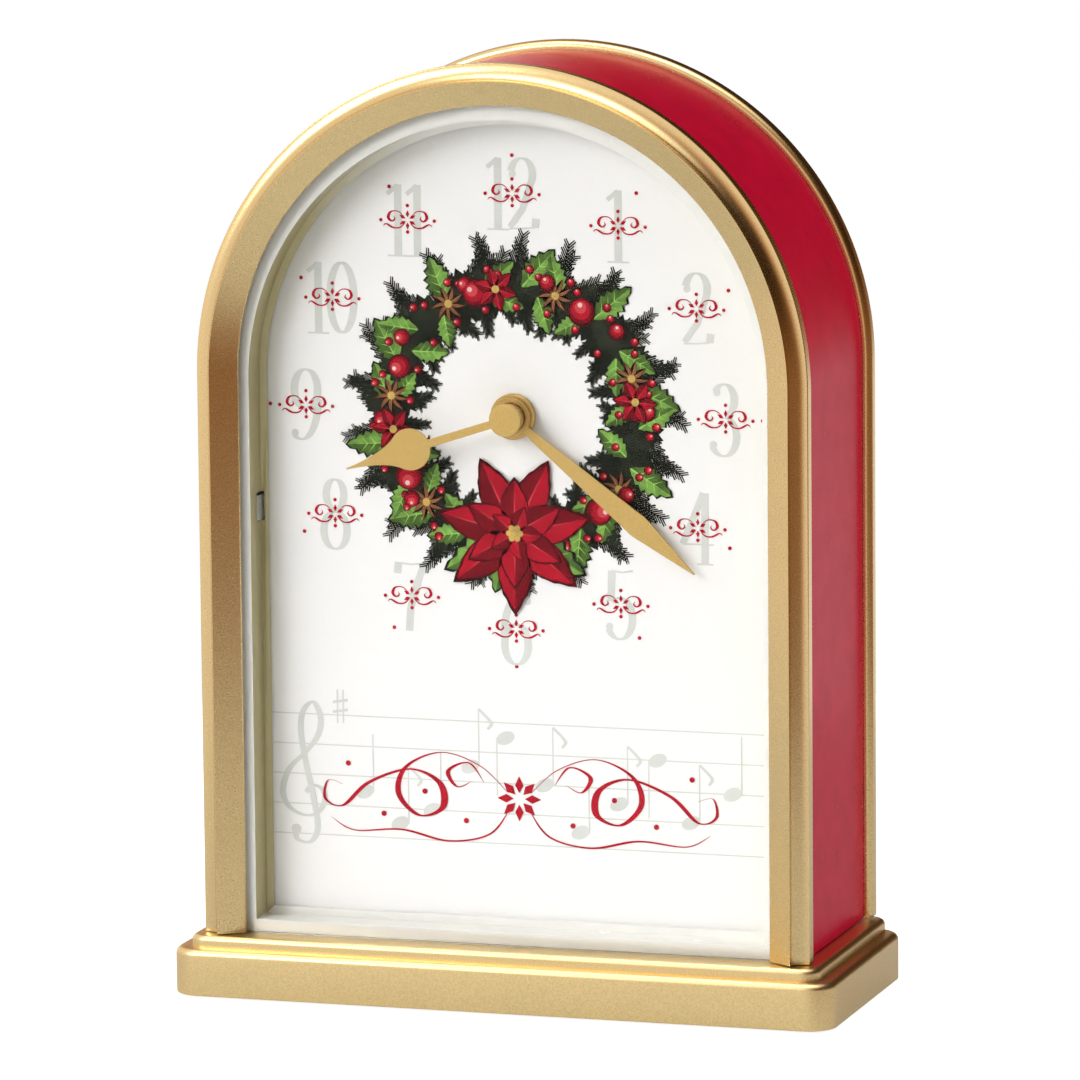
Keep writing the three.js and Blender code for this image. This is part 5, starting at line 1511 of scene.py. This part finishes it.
class CLOCK_OT_cells(bpy.types.Operator):
    """Two cells with wrapped sides, steel ends and a nub"""

    bl_idname = "clock.cells"
    bl_label = "Cells"

    def cell(self, name, node, side):
        low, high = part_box(node)
        half, radius = (high.x - low.x) / 2, (high.z - low.z) / 2
        nub, end = 2.6 * MM, half - 1.2 * MM
        band = half - 16 * MM
        section = [
            (0, 0.3 * MM - half), (radius - 2 * MM, 0.3 * MM - half), (radius - 1.6 * MM, -half),
            (radius - 0.6 * MM, -half), (radius, 0.5 * MM - half), (radius, band), (radius, end - 0.5 * MM),
            (radius - 0.5 * MM, end), (radius - 1.8 * MM, end), (radius - 2.2 * MM, end - 0.3 * MM),
            (nub + 0.6 * MM, end - 0.2 * MM), (nub, end), (nub, half - 0.3 * MM),
            (nub - 0.3 * MM, half), (0, half)]
        piece = turn_piece(name, section, (0, 0), 48)
        place(piece, "case", cell_wrap(), "cell_wrap", node)
        paint_faces(piece, cell_band(), lambda centre, normal: centre.y > band)
        inner = radius - 0.8 * MM
        paint_faces(
            piece, plated_steel(), lambda centre, normal: math.hypot(centre.x, centre.z) < inner)
        middle = (low + high) / 2
        move_piece(piece, middle, lay=-side * math.pi / 2)

    def execute(self, context):
        self.cell("cell_upper", "battery_upper", 1)
        self.cell("cell_lower", "battery_lower", -1)
        return {"FINISHED"}


class CLOCK_OT_screws(bpy.types.Operator):
    """Four cross-head screws in the back panel"""

    bl_idname = "clock.screws"
    bl_label = "Screws"

    def execute(self, context):
        low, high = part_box("panel_screw_1")
        head, shank, under = (high.x - low.x) / 2, 1.2 * MM, high.y - 1.2 * MM
        section = [
            (0, low.y), (shank * 0.4, low.y), (shank, low.y + MM), (shank, under), (head - 0.1 * MM, under),
            (head, under + 0.2 * MM), (head * 0.94, under + 0.7 * MM), (head * 0.75, under + 1.02 * MM),
            (head * 0.45, high.y - 0.03 * MM), (0, high.y)]
        first = turn_piece("screw", section, (0, 0), 40)
        for long, wide in ((1.5 * MM, 0.35 * MM), (0.35 * MM, 1.5 * MM)):
            cut_box(first, Vector((-long, high.y - 0.8 * MM, -wide)), Vector((long, high.y + MM, wide)))
        for number, turn in ((1, 20), (2, -35), (3, 5), (4, 50)):
            node = f"panel_screw_{number}"
            middle = sum(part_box(node), Vector()) / 2
            screw = copy_piece(first, f"screw_{number}")
            move_piece(screw, (middle.x, 0, middle.z), math.radians(turn))
            place(screw, "case", plated_steel(), "steel", node)
        bpy.data.objects.remove(first)
        return {"FINISHED"}


class CLOCK_OT_door(bpy.types.Operator):
    """Hardboard door with eased edges"""

    bl_idname = "clock.door"
    bl_label = "Rear Door"

    def execute(self, context):
        door = box_piece("door_board", *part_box("rear_door"))
        soften(door, 0.4 * MM, 3, 60)
        place(door, "door", hardboard(), "panel_brown", "rear_door")
        return {"FINISHED"}


class CLOCK_OT_finishes(bpy.types.Operator):
    """Finishes of the pieces that keep the frame's own shape"""

    bl_idname = "clock.finishes"
    bl_label = "Other Finishes"

    def execute(self, context):
        by_slot = {
            "felt": felt_cloth, "gold_base": base_gold, "gold_frame": gold_lacquer, "red_case": red_lacquer,
            "clear_glass": clear_glass, "bezel_white": bezel_white, "dial_card": dial_card,
            "brass": satin_brass, "steel": plated_steel, "nylon": moulded_nylon, "rubber": soft_rubber,
            "black_plastic": moulded_black, "copper_wire": copper_winding, "board_green": solder_mask,
            "cell_wrap": cell_wrap, "panel_brown": hardboard, "lead_red": wire_sleeve}
        by_node = {
            "dial_clip_left": clip_metal, "dial_clip_right": clip_metal, "speaker_cone": paper_cone}
        for row in frame["record"]["subparts"]:
            node = row["node"]
            finish = by_node.get(node, by_slot[row["material_slot"]])()
            for slot in frame["nodes"][node].material_slots:
                slot.material = finish
        return {"FINISHED"}


# The stage

AIM = Vector((0, 0, 0.15))  # where the lamps look
FLOOR_GREY = (0.62, 0.62, 0.62, 1)
FLOOR_GLOW = 0.84
FLOOR_MIRRORED = 0.15  # of the floor's glow in reflections
EDGE_WARMTH = (1.0, 0.43, 0.15, 1)  # of the studio where it fades
SHADE_WARMTH = (1.0, 0.92, 0.42, 1)  # of the dial's shaded side
CAMERA_PLACE = (0.7807, -2.4676, 0.5604)
CAMERA_TURN = (17.515, 9.070, -0.528)  # azimuth, pitch and roll in degrees
CAMERA_LENS = 270.8


class CLOCK_OT_studio(bpy.types.Operator):
    """Pale floor, soft lamps and the camera"""

    bl_idname = "clock.studio"
    bl_label = "Studio"

    def lamp(self, name, location, size, power, mirrored=True):
        bpy.ops.object.light_add(type="AREA", location=location)
        lamp = bpy.context.object
        lamp.name = name
        lamp.data.shape = "RECTANGLE"
        lamp.data.size, lamp.data.size_y = size
        lamp.data.energy = power
        lamp.visible_glossy = mirrored
        lamp.rotation_euler = (AIM - Vector(location)).to_track_quat("-Z", "Y").to_euler()

    def larger(self, tree, first, *others):
        """The largest of some values or sockets."""
        for other in others:
            first = maths(tree, "MAXIMUM", first, other)
        return first

    def floor(self):
        """It glows for camera and transmission rays, less for glossy ones, and gives no light."""
        select()
        bpy.ops.mesh.primitive_circle_add(vertices=96, radius=0.55, fill_type="NGON", location=(0, 0, 0))
        floor = bpy.context.object
        floor.name = "studio_floor"
        tree, shader = new_material("studio_floor")
        path = add_node(tree, "LightPath").outputs
        mirrored = maths(tree, "MULTIPLY", path["Is Glossy Ray"], FLOOR_MIRRORED)
        seen = self.larger(tree, path["Is Camera Ray"], path["Is Transmission Ray"], mirrored)
        set_inputs(tree, shader, {
            "Base Color": FLOOR_GREY, "Roughness": 0.9, "Specular IOR Level": 0.1,
            "Emission Color": WHITE, "Emission Strength": maths(tree, "MULTIPLY", seen, FLOOR_GLOW)})
        floor.data.materials.append(FINISHES["studio_floor"])

    def towards(self, tree, direction, low, high, dim, bright):
        """From dim to bright as a ray turns from low to high on the direction."""
        ray = add_node(tree, "TexCoord").outputs["Generated"]
        part = add_node(tree, "VectorMath", operation="DOT_PRODUCT")
        set_inputs(tree, part, {0: ray, 1: Vector(direction).normalized()})
        fade = add_node(tree, "MapRange", interpolation_type="SMOOTHSTEP")
        set_inputs(tree, fade, {
            "Value": part.outputs["Value"], "From Min": low, "From Max": high,
            "To Min": dim, "To Max": bright})
        return fade.outputs["Result"]

    def world(self):
        """White where the camera sees it; its light comes from the left, above and the backdrop.

        The right side is dimmer and warmer. The pane stops the lamps' light, so the light that
        comes through it to the dial is stronger than the light on the outside.
        """
        world = bpy.data.worlds.new("studio_world")
        bpy.context.scene.world = world
        world.use_nodes = True
        tree = world.node_tree
        left = self.towards(tree, (-0.91, -0.41, 0), -0.38, 0.45, 0.0, 0.92)
        right = self.towards(tree, (0, 0, 1), -0.1, 0.30, 0.27, 0.03)
        back = self.towards(tree, (0, 1, 0), 0.1, 0.6, 0.0, 1.0)
        low = self.towards(tree, (-0.35, 0, -0.94), -0.12, 0.03, 0.0, 1.0)
        above = self.towards(tree, (0, -0.2, 0.98), 0.72, 0.93, 0.0, 1.5)
        studio = self.larger(tree, left, right, maths(tree, "MULTIPLY", back, low), above)
        wash = self.towards(tree, (-0.76, -0.42, 0.42), 0.62, 0.97, 0.16, 3.45)
        plain = self.towards(tree, (-0.95, -0.10, 0.3), 0.2, 0.95, 0.30, 0.8)
        path = add_node(tree, "LightPath").outputs
        passed = path["Is Transmission Ray"]
        outside = maths(tree, "SUBTRACT", 1, passed)
        lighting = maths(tree, "MINIMUM", path["Diffuse Depth"], 1)
        looking = maths(tree, "SUBTRACT", 1, lighting)
        shown = maths(tree, "MULTIPLY", studio, looking)
        on_outside = maths(tree, "MULTIPLY", plain, outside)
        on_dial = maths(tree, "MULTIPLY", wash, passed)
        lit = maths(tree, "MULTIPLY", maths(tree, "ADD", on_outside, on_dial), lighting)
        through = maths(tree, "MULTIPLY", passed, looking)
        strength = self.larger(
            tree, maths(tree, "ADD", shown, lit), path["Is Camera Ray"], through)
        whiteness = self.larger(tree, maths(tree, "MULTIPLY", strength, strength), lighting)
        off_dial = maths(tree, "SUBTRACT", 1, maths(tree, "MULTIPLY", lighting, passed))
        tint = mix_colours(tree, whiteness, EDGE_WARMTH, WHITE)
        shadow_tint = mix_colours(tree, self.larger(tree, off_dial, wash), SHADE_WARMTH, WHITE)
        colour = add_node(tree, "VectorMath", operation="MULTIPLY")
        set_inputs(tree, colour, {0: tint, 1: shadow_tint})
        set_inputs(tree, tree.nodes["Background"], {
            "Color": colour.outputs["Vector"], "Strength": strength})

    def camera(self):
        azimuth, pitch, roll = [math.radians(angle) for angle in CAMERA_TURN]
        bpy.ops.object.camera_add(location=CAMERA_PLACE)
        camera = bpy.context.object
        camera.data.sensor_width = 36
        camera.data.lens = CAMERA_LENS
        camera.data.clip_start, camera.data.clip_end = 0.1, 20
        level = Euler((math.pi / 2 - pitch, 0, azimuth)).to_quaternion()
        camera.rotation_mode = "QUATERNION"
        camera.rotation_quaternion = level @ Quaternion((0, 0, 1), roll)
        bpy.context.scene.camera = camera

    def execute(self, context):
        context.scene.view_settings.view_transform = "Standard"
        self.floor()
        self.world()
        self.lamp("key_softbox", (-1.2, -1.6, 1.1), (0.9, 0.9), 20)
        self.lamp("top_softbox", (-0.1, -0.35, 1.7), (1.1, 0.6), 6)
        self.lamp("side_softbox", (1.6, 0.7, 0.7), (1.2, 1.0), 14, mirrored=False)
        self.camera()
        return {"FINISHED"}


class CLOCK_PT_panel(bpy.types.Panel):
    """The clock's pieces, in the order in which they are made"""

    bl_idname = "CLOCK_PT_panel"
    bl_label = "Arched Clock"
    bl_space_type = "VIEW_3D"
    bl_region_type = "UI"
    bl_category = "Clock"

    def draw(self, context):
        for operator in OPERATORS:
            self.layout.operator(operator.bl_idname)
        for group in (context.scene.clock_sizes, context.scene.clock_colours):
            for name in group.bl_rna.properties.keys():
                if name not in {"rna_type", "name"}:
                    self.layout.prop(group, name)


OPERATORS = (
    CLOCK_OT_base,
    CLOCK_OT_front_frame,
    CLOCK_OT_case,
    CLOCK_OT_rear_frame,
    CLOCK_OT_bezel,
    CLOCK_OT_numerals,
    CLOCK_OT_ornaments,
    CLOCK_OT_staff,
    CLOCK_OT_garland,
    CLOCK_OT_hands,
    CLOCK_OT_hub,
    CLOCK_OT_controls,
    CLOCK_OT_cells,
    CLOCK_OT_screws,
    CLOCK_OT_door,
    CLOCK_OT_finishes,
    CLOCK_OT_studio,
)
CLASSES = (ClockSizes, ClockColours, *OPERATORS, CLOCK_PT_panel)


def register():
    for item in CLASSES:
        bpy.utils.register_class(item)
    bpy.types.Scene.clock_sizes = bpy.props.PointerProperty(type=ClockSizes)
    bpy.types.Scene.clock_colours = bpy.props.PointerProperty(type=ClockColours)


def unregister():
    del bpy.types.Scene.clock_colours
    del bpy.types.Scene.clock_sizes
    for item in reversed(CLASSES):
        bpy.utils.unregister_class(item)


def main():
    register()
    for operator in OPERATORS:
        group, name = operator.bl_idname.split(".")
        getattr(getattr(bpy.ops, group), name)()


if __name__ == "__main__":
    main()
